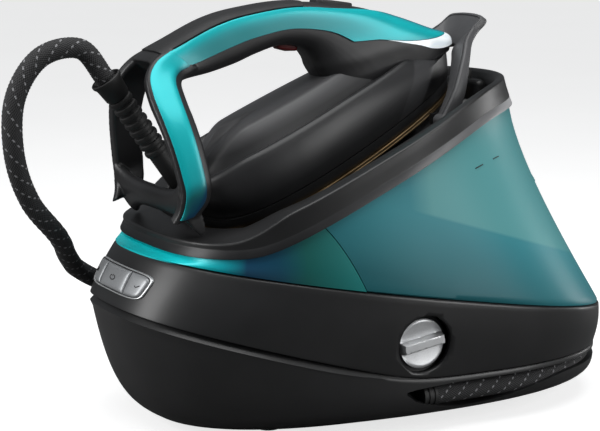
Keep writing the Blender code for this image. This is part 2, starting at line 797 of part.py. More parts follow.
def iron_boot(body):
    """The ribbed rubber sleeve where the hose enters the iron."""
    ribs, pitch, groove = 6, 0.0080, 0.0015
    neck = BOOT_RADIUS - 0.0014
    length = (BOOT_TOP - BOOT_FOOT).length
    profile = [(0.0, length), (BOOT_RADIUS - 0.0006, length), (BOOT_RADIUS, length - 0.0140)]
    for i in range(ribs):
        top = length - 0.0180 - i * pitch
        low = top - 0.0060
        profile += [(neck, top), (BOOT_RADIUS, top - groove), (BOOT_RADIUS, low + groove), (neck, low)]
    profile += [(neck, 0.0), (0.0, 0.0)]
    matrix = facing(BOOT_FOOT, BOOT_TOP - BOOT_FOOT)
    return turned("iron_hose_boot", profile, matrix, RUBBER_BLACK, body, 12)


def trigger_group(body):
    """The trigger under the grip, with its spring and the switch that it works."""
    spot = on_handle(*TRIGGER_SPOT)
    deep = TRIGGER_SIZE.z - TRIGGER_PROUD
    middle = sunk(spot, TRIGGER_SIZE.z / 2 - TRIGGER_PROUD)
    block("steam_trigger", TRIGGER_SIZE, middle, DARK_RED, body, 0.0012)
    into = spot.to_3x3() @ Vector((0.0, 0.0, 1.0))
    start = sunk(spot, deep + 3 * GAP).translation
    coil("trigger_spring", start, into, 0.0028, 0.0004, 3, TRIGGER_TRAVEL + 0.0008, STEEL, body)
    block("trigger_switch", (0.0080, 0.0120, 0.0050), sunk(spot, deep + 0.0080), GLOSS_BLACK, body, 0.0004)


def boost_button(body):
    """The button on top of the grip."""
    middle = sunk(on_handle(*BOOST_SPOT), BOOST_SIZE.z / 2 - BOOST_PROUD)
    block("boost_button", BOOST_SIZE, middle, SOFT_GREY, body, 0.0015)


def handle_covers(body):
    """The light at the nose and the soft cover on top of the grip."""
    handle_patch("light_window", (1, 2), range(-4, 5), WHITE_CLEAR, body)
    handle_patch("handle_top_cover", range(5, len(HANDLE_STATIONS) - 2), range(-2, 3), SOFT_GREY, body)


# ---------------------------------------------------------------- pieces on and in the base


def rest_mat(cradle):
    """The heat-proof mat under the sole."""
    shape = Outline(0.045, 0.205, 0.038, 0.090, 3.0, 1.6)
    loft("rest_mat", [iron_ring(shape, -0.0034), iron_ring(shape, -2 * GAP)], SILICONE, cradle)


def feet():
    """Four rubber feet, closer together in front."""
    for end, x, y in (("front", 0.050, -0.080), ("rear", 0.054, 0.100)):
        for side, sign in (("right", 1), ("left", -1)):
            low = Vector((sign * x, y, -FOOT_HEIGHT))
            high = Vector((sign * x, y, PLINTH_HEIGHT - GAP))
            rod(f"foot_{end}_{side}", low, high, FOOT_RADIUS, RUBBER_BLACK, sides=16)


def control_panel():
    """The bezel with its three buttons, and the board behind them."""
    edge_turn, edge_share = BUTTON_GAP, 0.015
    left, right = BUTTON_EDGES["button_left"][0] - edge_turn, BUTTON_EDGES["button_ok"][1] + edge_turn
    bezel = panel_patch(
        "control_bezel", -PANEL_TURN, PANEL_TURN, PANEL_LOW, PANEL_HIGH, 0.0014, -0.0050, SILVER, columns=8
    )
    cut(bezel, panel_patch(
        "bezel_opening", left, right, BUTTON_LOW - edge_share, BUTTON_HIGH + edge_share,
        0.0060, -0.0120, None, columns=8,
    ))
    middle = (BUTTON_LOW + BUTTON_HIGH) / 2
    for name, (start, end) in BUTTON_EDGES.items():
        button = panel_patch(name, start, end, BUTTON_LOW, BUTTON_HIGH, 0.0020, -0.0030, SILVER, columns=3)
        set_origin(button, housing_point((start + end) / 2, middle, 0.0))
    behind = housing_point(0.0, middle, -0.0140)
    block("control_board", (0.060, 0.026, 0.0016), facing(behind, (0.0, -0.866, 0.5)), BOARD_GREEN)


def calc_knob(centre, axis):
    """The round knob with a bar to grip it by."""
    thickness, edge = 0.0120, 0.0010
    profile = [(0.0, 0.0), (KNOB_RADIUS - edge, 0.0), (KNOB_RADIUS, -edge), (KNOB_RADIUS, -thickness)]
    profile.append((0.0, -thickness))
    knob = turned("calc_knob", profile, facing(centre + axis * KNOB_FACE, axis), SILVER, steps=32)
    grip = Matrix.Translation(centre + axis * (KNOB_FACE + 0.0015))
    join(knob, block("knob_grip", (0.0060, 0.0300, 0.0070), grip, None, bevel=0.001))


def calc_collector():
    """The knob, and the scale collector that it pulls out of the boiler."""
    axis = Vector((1.0, 0.0, 0.0))
    centre = Vector((0.0, KNOB_Y, KNOB_Z))
    calc_knob(centre, axis)
    recess = facing(centre + axis * 0.1125, axis)
    washer("knob_recess", KNOB_RADIUS + 0.0006, KNOB_RADIUS + 0.0035, 0.0170, recess, RUBBER_BLACK, steps=32)
    tip, end, radius = 0.0300, KNOB_FACE - 0.0125, 0.0090
    collector = rod("calc_collector", centre + axis * tip, centre + axis * end, radius, STEEL)
    scoop = Matrix.Translation(centre + Vector((tip + 0.0170, 0.0, 0.0040)))
    cut(collector, block("collector_scoop", (0.0260, 0.0130, 0.0120), scoop, None))
    seal = facing(centre + axis * 0.0970, axis)
    washer("calc_seal", radius + 0.0004, radius + 0.0040, 0.0030, seal, RUBBER_BLACK)


def can(name, radius, low, high, style):
    """A round vessel with chamfered edges, on the boiler's axis."""
    edge = 0.004
    profile = [(0.0, high), (radius - edge, high), (radius, high - edge)]
    profile += [(radius, low + edge), (radius - edge, low), (0.0, low)]
    return turned(name, profile, Matrix.Translation((0.0, KNOB_Y, 0.0)), style, steps=32)


def boiler():
    """The pressure vessel, with a side port that the collector goes through."""
    wall = 0.004
    vessel = can("boiler_vessel", BOILER_RADIUS, BOILER_FLOOR, BOILER_TOP, CASTING)
    port = Vector((0.070, KNOB_Y, KNOB_Z))
    reach = Vector((0.0245, 0.0, 0.0))
    join(vessel, rod("port_neck", port - reach, port + reach, 0.0135, None))
    cut(
        vessel,
        can("vessel_hollow", BOILER_RADIUS - wall, BOILER_FLOOR + wall, BOILER_TOP - wall, None),
        bore("port_bore", port, reach * 1.25, 0.0105),
    )


def boiler_fittings():
    """The boiler's lid, the ring heater under it, and the fittings on top."""
    lid_top = BOILER_TOP + WALL + 0.0015
    seat = lid_top + GAP
    rod("boiler_lid", (0.0, KNOB_Y, BOILER_TOP + GAP), (0.0, KNOB_Y, lid_top), 0.048, CASTING, sides=28)
    heater = Matrix.Translation((0.0, KNOB_Y, BOILER_FLOOR - 0.0060))
    washer("boiler_heater", 0.034, 0.044, 0.0080, heater, BRASS, steps=24)
    rod("boiler_thermostat", (-0.020, -0.022, seat), (-0.020, -0.022, seat + 0.010), 0.008, STEEL, sides=14)
    rod("safety_valve", (-0.028, 0.008, seat), (-0.028, 0.008, seat + 0.008), 0.006, BRASS, sides=6)
    valve = Vector((0.022, 0.028, 0.013))
    block("steam_valve", valve, Matrix.Translation((0.018, -0.024, seat + valve.z / 2 + GAP)), GLOSS_BLACK,
          bevel=0.001)


def water_line():
    """The tank's socket, the pump, and the tubes between tank, pump, boiler and hose."""
    socket = Matrix.Translation((TANK_PORT_X, TANK_PORT_Y, 0.0863))
    washer("tank_socket", 0.0046, 0.0083, 0.0110, socket, RUBBER_BLACK)
    inlet, outlet = Vector((-0.030, 0.100, 0.056)), Vector((0.026, 0.100, 0.056))
    gap = Vector((0.0040, 0.0, 0.0))
    rod("pump", inlet, outlet, 0.015, GLOSS_BLACK, sides=18)
    courses = {
        "tank_tube": (
            (TANK_PORT_X, TANK_PORT_Y, 0.0775), (-0.084, 0.046, 0.068), (-0.062, 0.088, 0.058), inlet - gap,
        ),
        "feed_tube": (outlet + gap, (0.046, 0.088, 0.058), (0.050, 0.066, 0.064), (0.046, 0.050, 0.060)),
        "steam_tube": ((0.0325, -0.024, 0.089), (0.056, -0.040, 0.084), (0.076, -0.050, 0.072),
                       (0.086, -0.046, 0.060)),
    }
    for name, points in courses.items():
        wire(name, smooth_path(points, 4), 0.0028, SILICONE)


def in_channel(angle):
    """The centre of the stowed hose at this angle round the base."""
    middle = (CHANNEL_LOW + CHANNEL_TOP) / 2
    return Vector((*channel_point(angle, CHANNEL_DEPTH / 2), middle))


def hose_pieces():
    """The woven steam hose: a free loop from the iron, then stowed in the channel round the base."""
    left = 2 * math.pi - CHANNEL_START - 0.22
    right = CHANNEL_START + 0.14
    seam = 0.012
    stowed = [in_channel(mix(left, right, i / 22)) for i in range(23)]
    wire("hose_stowed", stowed, HOSE_RADIUS, WOVEN_BLACK)
    boot = [in_channel(mix(right - seam, CHANNEL_START + 0.05, i / 3)) for i in range(4)]
    wire("hose_base_boot", boot, HOSE_RADIUS + 0.0012, RUBBER_BLACK)
    top = IRON_MATRIX @ BOOT_TOP
    rise = (top - IRON_MATRIX @ BOOT_FOOT).normalized()
    loop = [
        top + rise * 0.0022,
        (0.000, -0.195, 0.265),
        (0.000, -0.223, 0.260),
        (-0.001, -0.241, 0.233),
        (-0.006, -0.241, 0.195),
        (-0.020, -0.226, 0.160),
        (-0.046, -0.197, 0.129),
        (-0.088, -0.168, 0.096),
        (-0.1185, -0.118, 0.068),
        (-0.1300, -0.066, 0.046),
        (-0.1295, -0.033, 0.033),
        (-0.1290, -0.002, 0.027),
        (-0.1195, 0.026, 0.0235),
        in_channel(left + seam),
    ]
    wire("hose_loop", smooth_path(loop, 3), HOSE_RADIUS, WOVEN_BLACK)


def power_lead():
    """The mains lead, coiled in the bay behind the boiler, with its plug inside the coil."""
    centre = Vector((0.0, 0.098, 0.0095))
    half_width, half_depth, rise, turns, steps = 0.043, 0.024, 0.0072, 3, 14
    path = []
    for i in range(turns * steps - 2):
        turn = 2 * math.pi * i / steps
        along = Vector((half_width * math.cos(turn), half_depth * math.sin(turn), rise * i / steps))
        path.append(centre + along)
    wire("power_lead", path, 0.0031, RUBBER_BLACK)
    body = centre + Vector((-0.006, 0.0, 0.0075))
    plug = block("power_plug", (0.036, 0.022, 0.020), Matrix.Translation(body), RUBBER_BLACK, bevel=0.003)
    for side in (-1, 1):
        root = body + Vector((0.016, side * 0.0065, 0.0))
        join(plug, rod(f"plug_pin_{side}", root, root + Vector((0.018, 0.0, 0.0)), 0.0024, None, sides=10))


# ---------------------------------------------------------------- the lock that holds the iron down


def bow_outline():
    """The hoop's outline in its own plane: up the outside, over the tab and back round the opening."""
    outside = smooth_path([
        (0.0555, 0.0040, 0.0), (0.0520, 0.0260, 0.0), (0.0390, 0.0550, 0.0), (0.0260, 0.0780, 0.0),
        (0.0215, 0.0890, 0.0), (0.0120, 0.0955, 0.0), (0.0, 0.0975, 0.0),
    ], 3)
    inside = smooth_path([
        (0.0, 0.0710, 0.0), (0.0120, 0.0640, 0.0), (0.0230, 0.0520, 0.0), (0.0400, 0.0280, 0.0),
        (0.0460, 0.0040, 0.0),
    ], 3)
    flip = Matrix.Scale(-1.0, 3, (1.0, 0.0, 0.0))
    outer_left = [flip @ point for point in reversed(outside[:-1])]
    inner_left = [flip @ point for point in reversed(inside[1:])]
    return outside + outer_left + inner_left + inside


def plate(name, outline, thickness, style):
    """A flat plate from a closed outline, as a mesh that Booleans can use."""
    curve = bpy.data.curves.new(name, "CURVE")
    curve.dimensions = "2D"
    curve.fill_mode = "BOTH"
    curve.extrude = thickness / 2
    spline = curve.splines.new("POLY")
    spline.points.add(len(outline) - 1)
    spline.use_cyclic_u = True
    for point, spot in zip(spline.points, outline):
        point.co = (*spot, 1.0)
    guide = place(bpy.data.objects.new(f"{name}_guide", curve), None, None)
    graph = bpy.context.evaluated_depsgraph_get()
    mesh = bpy.data.meshes.new_from_object(guide.evaluated_get(graph))
    bpy.data.objects.remove(guide)
    bm = bmesh.new()
    bm.from_mesh(mesh)
    bmesh.ops.remove_doubles(bm, verts=bm.verts, dist=1e-5)
    return add_mesh(name, bm, style)


def lock_bow():
    """The hoop over the iron's nose, with a hub at the foot of each leg."""
    bow = plate("lock_bow", bow_outline(), LOCK_THICKNESS, SOFT_GREY)
    bow.matrix_local = Matrix.Translation(LOCK_PIVOT) @ Matrix.Rotation(math.pi / 2 - LOCK_LEAN, 4, "X")
    for name, side in (("right", 1), ("left", -1)):
        across = Vector((side, 0.0, 0.0))
        inner, outer = LOCK_PIVOT + across * 0.0460, LOCK_PIVOT + across * 0.0560
        join(bow, rod(f"hub_{name}", inner, outer, 0.0048, None))
        cut(bow, bore(f"hub_bore_{name}", (inner + outer) / 2, across * 0.0100, 0.0027))


def lock_pivots():
    """The two posts on the deck whose pins carry the bow."""
    for name, side in (("right", 1), ("left", -1)):
        across = Vector((side, 0.0, 0.0))
        foot = LOCK_PIVOT + across * 0.0432 + Vector((0.0, 0.0, 0.0012))
        post = block(f"lock_pivot_{name}", (0.0030, 0.0100, 0.0080), Matrix.Translation(foot), SATIN_BLACK)
        inner, outer = LOCK_PIVOT + across * 0.0425, LOCK_PIVOT + across * 0.0565
        join(post, rod(f"pin_{name}", inner, outer, 0.0022, None, sides=12))


def lock_housing():
    """The hump behind the nose, with the catch that the opened bow rests on."""
    shape = Outline(0.1065, 0.1220, 0.024, 0.1140, 2.5, 2.5)
    top, edge = 0.2315, 0.0025
    rings = [
        ring(shape, lambda y: tray_floor_z(y) + 2 * GAP, 0.0, 24),
        ring(shape, top - edge, -0.001, 24),
        ring(shape, top, -0.003, 24),
    ]
    hump = loft("lock_housing", rings, SATIN_BLACK)
    join(hump, rod("lock_catch", (0.0, 0.1150, 0.2280), (0.0, 0.1165, 0.2385), 0.0040, None, sides=12))


# ---------------------------------------------------------------- pieces on the tank


def filler_flap(body):
    """The flap over the filler opening, hinged along its top edge."""
    flap = rear_patch("filler_flap", FLAP_TURN, FLAP_LOW, FLAP_HIGH, 0.0028, 0.0006, TEAL_CLEAR, body)
    hinge = band_point(math.pi, FLAP_HIGH, 0.0028)
    set_origin(flap, Vector((0.0, hinge.y, hinge.z)))


def outlet_valve(body):
    """The valve that the socket in the base pushes open, with its spring and cage."""
    floor = Vector((TANK_PORT_X, TANK_PORT_Y, seam_z(TANK_PORT_Y) + 0.0036))
    up = Vector((0.0, 0.0, 1.0))
    valve = rod("tank_valve", floor - up * 0.0045, floor + up * 0.0038, 0.0034, SILICONE, body, sides=14)
    join(valve, rod("valve_head", floor + up * 0.0030, floor + up * 0.0055, 0.0090, None, body, sides=14))
    coil("valve_spring", floor + up * 0.0066, up, 0.0050, 0.0005, 4, 0.0095, STEEL, body)
    bridge_at = Matrix.Translation(floor + up * 0.0182)
    cage = block("valve_cage", (0.0280, 0.0060, 0.0018), bridge_at, SILICONE, body)
    for side in (-1, 1):
        leg = Matrix.Translation(floor + Vector((side * 0.0125, 0.0, 0.0092)))
        join(cage, block(f"cage_leg_{side}", (0.0024, 0.0060, 0.0180), leg, None, body))


# ---------------------------------------------------------------- building everything

iron_frame = frame("iron_frame", IRON_MATRIX)
tank_frame = frame("tank_frame", Matrix())
cradle_frame = frame("cradle_frame", IRON_MATRIX)

base_tub()
base_housing()
accent_cover()
cradle_deck()
rest_mat(cradle_frame)
feet()
control_panel()
calc_collector()
boiler()
boiler_fittings()
water_line()
hose_pieces()
power_lead()
lock_bow()
lock_pivots()
lock_housing()

water_tank(tank_frame)
filler_flap(tank_frame)
outlet_valve(tank_frame)

soleplate(iron_frame)
steam_chamber(iron_frame)
heat_shield(iron_frame)
iron_shell(iron_frame)
iron_handle(iron_frame)
for side_name, sign in (("right", 1), ("left", -1)):
    handle_trim(f"handle_trim_{side_name}", sign, iron_frame)
    leg_trim(f"leg_trim_{side_name}", sign, iron_frame)
iron_boot(iron_frame)
trigger_group(iron_frame)
boost_button(iron_frame)
handle_covers(iron_frame)
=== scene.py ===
"""The looks of the steam generator iron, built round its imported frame.

Metres, +Z up, in the frame of the part: the control panel faces -Y and the water tank is at +Y.
"""

import json
from collections import namedtuple
from math import atan2, copysign, cos, hypot, pi, radians, sin, sqrt, tan

import bmesh
import bpy
from mathutils import Matrix, Vector


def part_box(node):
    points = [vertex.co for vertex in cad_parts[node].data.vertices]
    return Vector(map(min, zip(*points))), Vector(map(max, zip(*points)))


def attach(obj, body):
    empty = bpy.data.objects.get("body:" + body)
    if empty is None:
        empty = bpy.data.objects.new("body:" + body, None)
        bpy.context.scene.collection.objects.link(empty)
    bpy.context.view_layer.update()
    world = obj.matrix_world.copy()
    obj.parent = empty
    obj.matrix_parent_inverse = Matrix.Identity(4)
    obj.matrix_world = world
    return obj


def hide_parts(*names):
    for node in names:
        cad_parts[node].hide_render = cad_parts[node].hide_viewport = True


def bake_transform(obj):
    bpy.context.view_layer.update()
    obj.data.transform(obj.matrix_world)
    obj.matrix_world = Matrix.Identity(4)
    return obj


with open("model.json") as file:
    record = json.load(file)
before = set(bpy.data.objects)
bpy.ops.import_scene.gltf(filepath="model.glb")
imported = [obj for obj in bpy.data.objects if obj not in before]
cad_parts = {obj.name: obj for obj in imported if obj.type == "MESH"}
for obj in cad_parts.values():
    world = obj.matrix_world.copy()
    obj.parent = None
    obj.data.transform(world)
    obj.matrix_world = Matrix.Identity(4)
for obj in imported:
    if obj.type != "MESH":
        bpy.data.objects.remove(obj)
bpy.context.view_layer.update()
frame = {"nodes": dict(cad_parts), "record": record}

# ---------------------------------------------------------------- driving dimensions

TURN = 2.0 * pi
SIDES = (("right", 1), ("left", -1))
Outline = namedtuple("Outline", "front rear half_width widest front_power rear_power")


def boxed(node, widest, front_power, rear_power, inset=0.0):
    """An outline that fills the box of a node, less the inset."""
    low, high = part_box(node)
    return Outline(low.y + inset, high.y - inset, high.x - inset, widest, front_power, rear_power)


CREASE = boxed("base_tub", 0.055, 2.7, 2.6)
FOOTPRINT = Outline(CREASE.front + 0.045, CREASE.rear - 0.039, CREASE.half_width - 0.034, 0.01, 2.5, 2.3)
SEAM = boxed("base_housing", 0.06, 2.4, 2.4)._replace(front=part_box("accent_cover")[0].y)
DECK_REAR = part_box("cradle_deck")[1].y - 0.007
DECK_EDGE = boxed("cradle_deck", -0.008, 3.1, 1.95, inset=0.0018)._replace(rear=DECK_REAR)
RIM_EDGE = DECK_EDGE._replace(rear=DECK_EDGE.rear - 0.0055)
TRAY_LIP = Outline(
    DECK_EDGE.front + 0.025, RIM_EDGE.rear - 0.008, DECK_EDGE.half_width - 0.013, -0.008, 3.0, 2.2
)
TRAY_MIDDLE = Outline(-0.07, 0.1, 0.05, -0.008, 2.5, 2.2)

FLOOR_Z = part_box("foot_front_right")[0].z
CREASE_LOW, CREASE_SLOPE = 0.036, 0.29
SEAM_FRONT_Y, SEAM_FRONT_Z, SEAM_FALL = -0.165, 0.125, 0.17
DECK_LOW, DECK_SLOPE, DECK_RISE_Y, DECK_LEVEL_Y = 0.1275, 0.48, -0.11, 0.078
RIM_HEIGHT, APRON_HEIGHT = 0.0215, 0.0105
HOUSING_BULGE = 0.0015
GAP = 0.0003
WALL = 0.0025

IRON_SLOPE = radians(24.0)
SOLE_HEEL, SOLE_THICKNESS = 0.022, 0.004
sole_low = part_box("soleplate")[0]
IRON_HEEL = Vector((
    0.0,
    sole_low.y - SOLE_HEEL * cos(IRON_SLOPE) + SOLE_THICKNESS * sin(IRON_SLOPE),
    sole_low.z - (SOLE_HEEL + 0.0012) * sin(IRON_SLOPE),
))
IRON = Matrix.Translation(IRON_HEEL) @ Matrix.Rotation(IRON_SLOPE, 4, "X")
SOLE = Outline(SOLE_HEEL, 0.248, 0.0555, 0.09, 3.0, 1.5)

# ---------------------------------------------------------------- outlines and heights


def soft(value, radius):
    """A ramp that is 0 below zero and follows value above it, rounded over the radius."""
    return 0.5 * (value + hypot(value, radius))


def mix(a, b, share):
    return a + (b - a) * share


def rounded(value, power):
    """A power that keeps the sign: it squares off circles."""
    return copysign(abs(value) ** power, value)


def smooth(low, high, value):
    """0 below low, 1 above high, and an S-curve between them."""
    share = max(0.0, min(1.0, (value - low) / (high - low)))
    return share * share * (3.0 - 2.0 * share)


def mix_outline(a, b, share):
    return Outline(*(mix(one, other, share) for one, other in zip(a, b)))


def half_of(outline, along):
    """The length and the power of an outline's front half, for along above zero, or of its rear half."""
    if along > 0:
        return outline.widest - outline.front, outline.front_power
    return outline.rear - outline.widest, outline.rear_power


def outline_point(outline, angle, grow=0.0):
    """A point of the outline in this direction: 0 is the front centre and a quarter turn is +X."""
    along, across = cos(angle), sin(angle)
    reach, power = half_of(outline, along)
    inverse = abs(along / (reach + grow)) ** power + abs(across / (outline.half_width + grow)) ** power
    radius = inverse ** (-1.0 / power)
    return radius * across, outline.widest - radius * along


def side_angle(outline, y, grow=0.0):
    """The direction on +X in which an outline has this y."""
    along = outline.widest - y
    reach, power = half_of(outline, along)
    share = min(1.0, abs(along) / (reach + grow))
    across = (outline.half_width + grow) * (1.0 - share**power) ** (1.0 / power)
    return atan2(across, along)


def angle_at_x(outline, x):
    """The direction in which the front half of an outline has this x."""
    reach, power = half_of(outline, 1.0)
    return atan2(x, reach * (1.0 - (abs(x) / outline.half_width) ** power) ** (1.0 / power))


def crease_z(y):
    return CREASE_LOW + CREASE_SLOPE * soft(-y, 0.02)


def seam_z(y):
    return SEAM_FRONT_Z - SEAM_FALL * (y - SEAM_FRONT_Y)


def side_z(y, share):
    return mix(crease_z(y), seam_z(y), share)


def deck_z(y):
    return DECK_LOW + DECK_SLOPE * (soft(y - DECK_RISE_Y, 0.015) - soft(y - DECK_LEVEL_Y, 0.03))


def sole_z(y):
    return IRON_HEEL.z + tan(IRON_SLOPE) * (y - IRON_HEEL.y)


def rim_height(y):
    """The rim is low across the front apron and full height along the sides."""
    return mix(APRON_HEIGHT, RIM_HEIGHT, smooth(-0.13, -0.085, y))


def tray_lip_z(y):
    return max(deck_z(y) + rim_height(y) - 0.001, 0.142 + 0.25 * (y - TRAY_LIP.front))


def tray_floor_z(y):
    return sole_z(y) - 0.0042 - tan(IRON_SLOPE) * soft(y - 0.1, 0.01)


def spread(start, end, count):
    """This many evenly spaced values from start to end."""
    return [mix(start, end, i / (count - 1)) for i in range(count)]


def ring(outline, height, grow=0.0, count=216):
    """A closed ring of points on an outline, at a height that depends on y."""
    points = []
    for i in range(count):
        x, y = outline_point(outline, TURN * i / count, grow)
        points.append(Vector((x, y, height(y) if callable(height) else height)))
    return points


def spline(a, b, c, d, t):
    """The value at share t between b and c, on a smooth curve through all four."""
    return 0.5 * (2 * b + (c - a) * t + (2 * a - 5 * b + 4 * c - d) * t**2 + (3 * b - a - 3 * c + d) * t**3)


def curve_points(points, steps):
    """A smooth curve through the points."""
    points = [Vector(p) for p in points]
    ends = [2 * points[0] - points[1], *points, 2 * points[-1] - points[-2]]
    path = []
    for four in zip(ends, ends[1:], ends[2:], ends[3:]):
        path += [spline(*four, k / steps) for k in range(steps)]
    return path + [points[-1]]


# ---------------------------------------------------------------- meshes


def new_piece(name, bm, body, materials, node=None, angle=40.0, matrix=None):
    """Turn a bmesh into a piece that rides on a body and stands for a node."""
    bmesh.ops.recalc_face_normals(bm, faces=bm.faces)
    mesh = bpy.data.meshes.new(name)
    bm.to_mesh(mesh)
    bm.free()
    if matrix is not None:
        mesh.transform(matrix)
    mesh.shade_smooth()
    mesh.set_sharp_from_angle(angle=radians(angle))
    obj = bpy.data.objects.new(name, mesh)
    bpy.context.scene.collection.objects.link(obj)
    for material in materials if isinstance(materials, (list, tuple)) else [materials]:
        obj.data.materials.append(material)
    if body:
        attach(obj, body)
    if node:
        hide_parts(*([node] if isinstance(node, str) else node))
    return obj


def bridge(bm, lower, upper):
    count = len(lower)
    for i in range(count):
        bm.faces.new((lower[i], lower[(i + 1) % count], upper[(i + 1) % count], upper[i]))


def cap(bm, verts, centre=None):
    """Close a ring of vertices towards a centre, which is their middle unless it is given."""
    tip = bm.verts.new(centre or sum((v.co for v in verts), Vector()) / len(verts))
    for i, vert in enumerate(verts):
        bm.faces.new((vert, verts[(i + 1) % len(verts)], tip))


def stack(bm, rings, close_first=True, close_last=True):
    """Faces through a stack of rings. It returns the rows of vertices."""
    rows = [[bm.verts.new(point) for point in points] for points in rings]
    for lower, upper in zip(rows, rows[1:]):
        bridge(bm, lower, upper)
    if close_first:
        cap(bm, rows[0])
    if close_last:
        cap(bm, rows[-1])
    return rows


def lofted(rings):
    bm = bmesh.new()
    stack(bm, rings)
    return bm


def looped(rings):
    """A closed band through rings, the last of which joins the first."""
    bm = bmesh.new()
    rows = stack(bm, rings, False, False)
    bridge(bm, rows[-1], rows[0])
    return bm


def cupped(outer, inner):
    """A shell that is joined along its first rings and closed at its last ones."""
    bm = bmesh.new()
    top = stack(bm, outer, close_first=False)
    low = stack(bm, inner, close_first=False)
    bridge(bm, top[0], low[0])
    return bm


def sheet(grid):
    """An open sheet through a grid of points."""
    bm = bmesh.new()
    rows = [[bm.verts.new(point) for point in row] for row in grid]
    for low, high in zip(rows, rows[1:]):
        for j in range(len(low) - 1):
            bm.faces.new((low[j], low[j + 1], high[j + 1], high[j]))
    return bm


def apply_modifiers(obj):
    """Bake an object's modifiers into its mesh."""
    graph = bpy.context.evaluated_depsgraph_get()
    obj.data = bpy.data.meshes.new_from_object(obj.evaluated_get(graph))
    obj.modifiers.clear()


def bevelled(obj, width, segments, angle):
    """Round the edges that are sharper than the angle."""
    bevel = obj.modifiers.new("edges", "BEVEL")
    bevel.width = width
    bevel.segments = segments
    bevel.limit_method = "ANGLE"
    bevel.angle_limit = radians(angle)
    bevel.harden_normals = True
    bevel.miter_outer = "MITER_ARC"
    apply_modifiers(obj)


def thickened(obj, thickness, offset=-1.0):
    """Give a sheet a thickness on one side of it, or on both with an offset of 0."""
    solid = obj.modifiers.new("thickness", "SOLIDIFY")
    solid.thickness = thickness
    solid.offset = offset
    solid.use_even_offset = True


def cut(obj, *tools):
    """Subtract tools from an object and remove them."""
    for tool in tools:
        modifier = obj.modifiers.new("cut", "BOOLEAN")
        modifier.operation = "DIFFERENCE"
        modifier.object = tool
    apply_modifiers(obj)
    for tool in tools:
        bpy.data.objects.remove(tool)


def loose(name, bm, matrix=None):
    """A helper mesh that isn't part of the object."""
    return new_piece(name, bm, None, [], matrix=matrix)


def facing(point, direction, up="Y"):
    return Matrix.Translation(point) @ Vector(direction).to_track_quat("Z", up).to_matrix().to_4x4()


def turned_faces(bm, rows, steps):
    """Faces between rows of vertices round an axis, where a row of one vertex is a tip."""
    for upper, lower in zip(rows, rows[1:]):
        for i in range(steps):
            corners = ((upper, i), (lower, i), (lower, i + 1), (upper, i + 1))
            bm.faces.new(list(dict.fromkeys(row[k % len(row)] for row, k in corners)))


def turned_bm(profile, steps=64):
    """A closed turned shape about Z from (radius, height) points, top centre to bottom centre."""
    bm = bmesh.new()
    rows = []
    for radius, height in profile:
        angles = spread(0.0, TURN * (1 - 1 / steps), steps) if radius else [0.0]
        rows.append([bm.verts.new((radius * cos(a), radius * sin(a), height)) for a in angles])
    turned_faces(bm, rows, steps)
    return bm


def tube_bm(path, radius, sides=24):
    """A tube along a path with UVs in metres along it and turns round it. radius(s, turn) may vary."""
    bm = bmesh.new()
    uv_layer = bm.loops.layers.uv.new("along")
    lengths = [0.0]
    for a, b in zip(path, path[1:]):
        lengths.append(lengths[-1] + (b - a).length)
    side = (path[1] - path[0]).orthogonal().normalized()
    rows = []
    for i, point in enumerate(path):
        tangent = (path[min(i + 1, len(path) - 1)] - path[max(i - 1, 0)]).normalized()
        side = (side - tangent * side.dot(tangent)).normalized()
        other = tangent.cross(side)
        row = []
        for k in range(sides):
            turn = k / sides
            angle = TURN * turn
            reach = radius(lengths[i], turn) if callable(radius) else radius
            row.append(bm.verts.new(point + (side * cos(angle) + other * sin(angle)) * reach))
        rows.append(row)
    for i in range(len(rows) - 1):
        for k in range(sides):
            m = (k + 1) % sides
            face = bm.faces.new((rows[i][k], rows[i][m], rows[i + 1][m], rows[i + 1][k]))
            corners = ((i, k), (i, k + 1), (i + 1, k + 1), (i + 1, k))
            for loop, (row, column) in zip(face.loops, corners):
                loop[uv_layer].uv = (lengths[row], column / sides)
    cap(bm, rows[0])
    cap(bm, rows[-1])
    return bm


# ---------------------------------------------------------------- materials

BRAID_PITCH, BRAID_TURNS = 420.0, 3.0


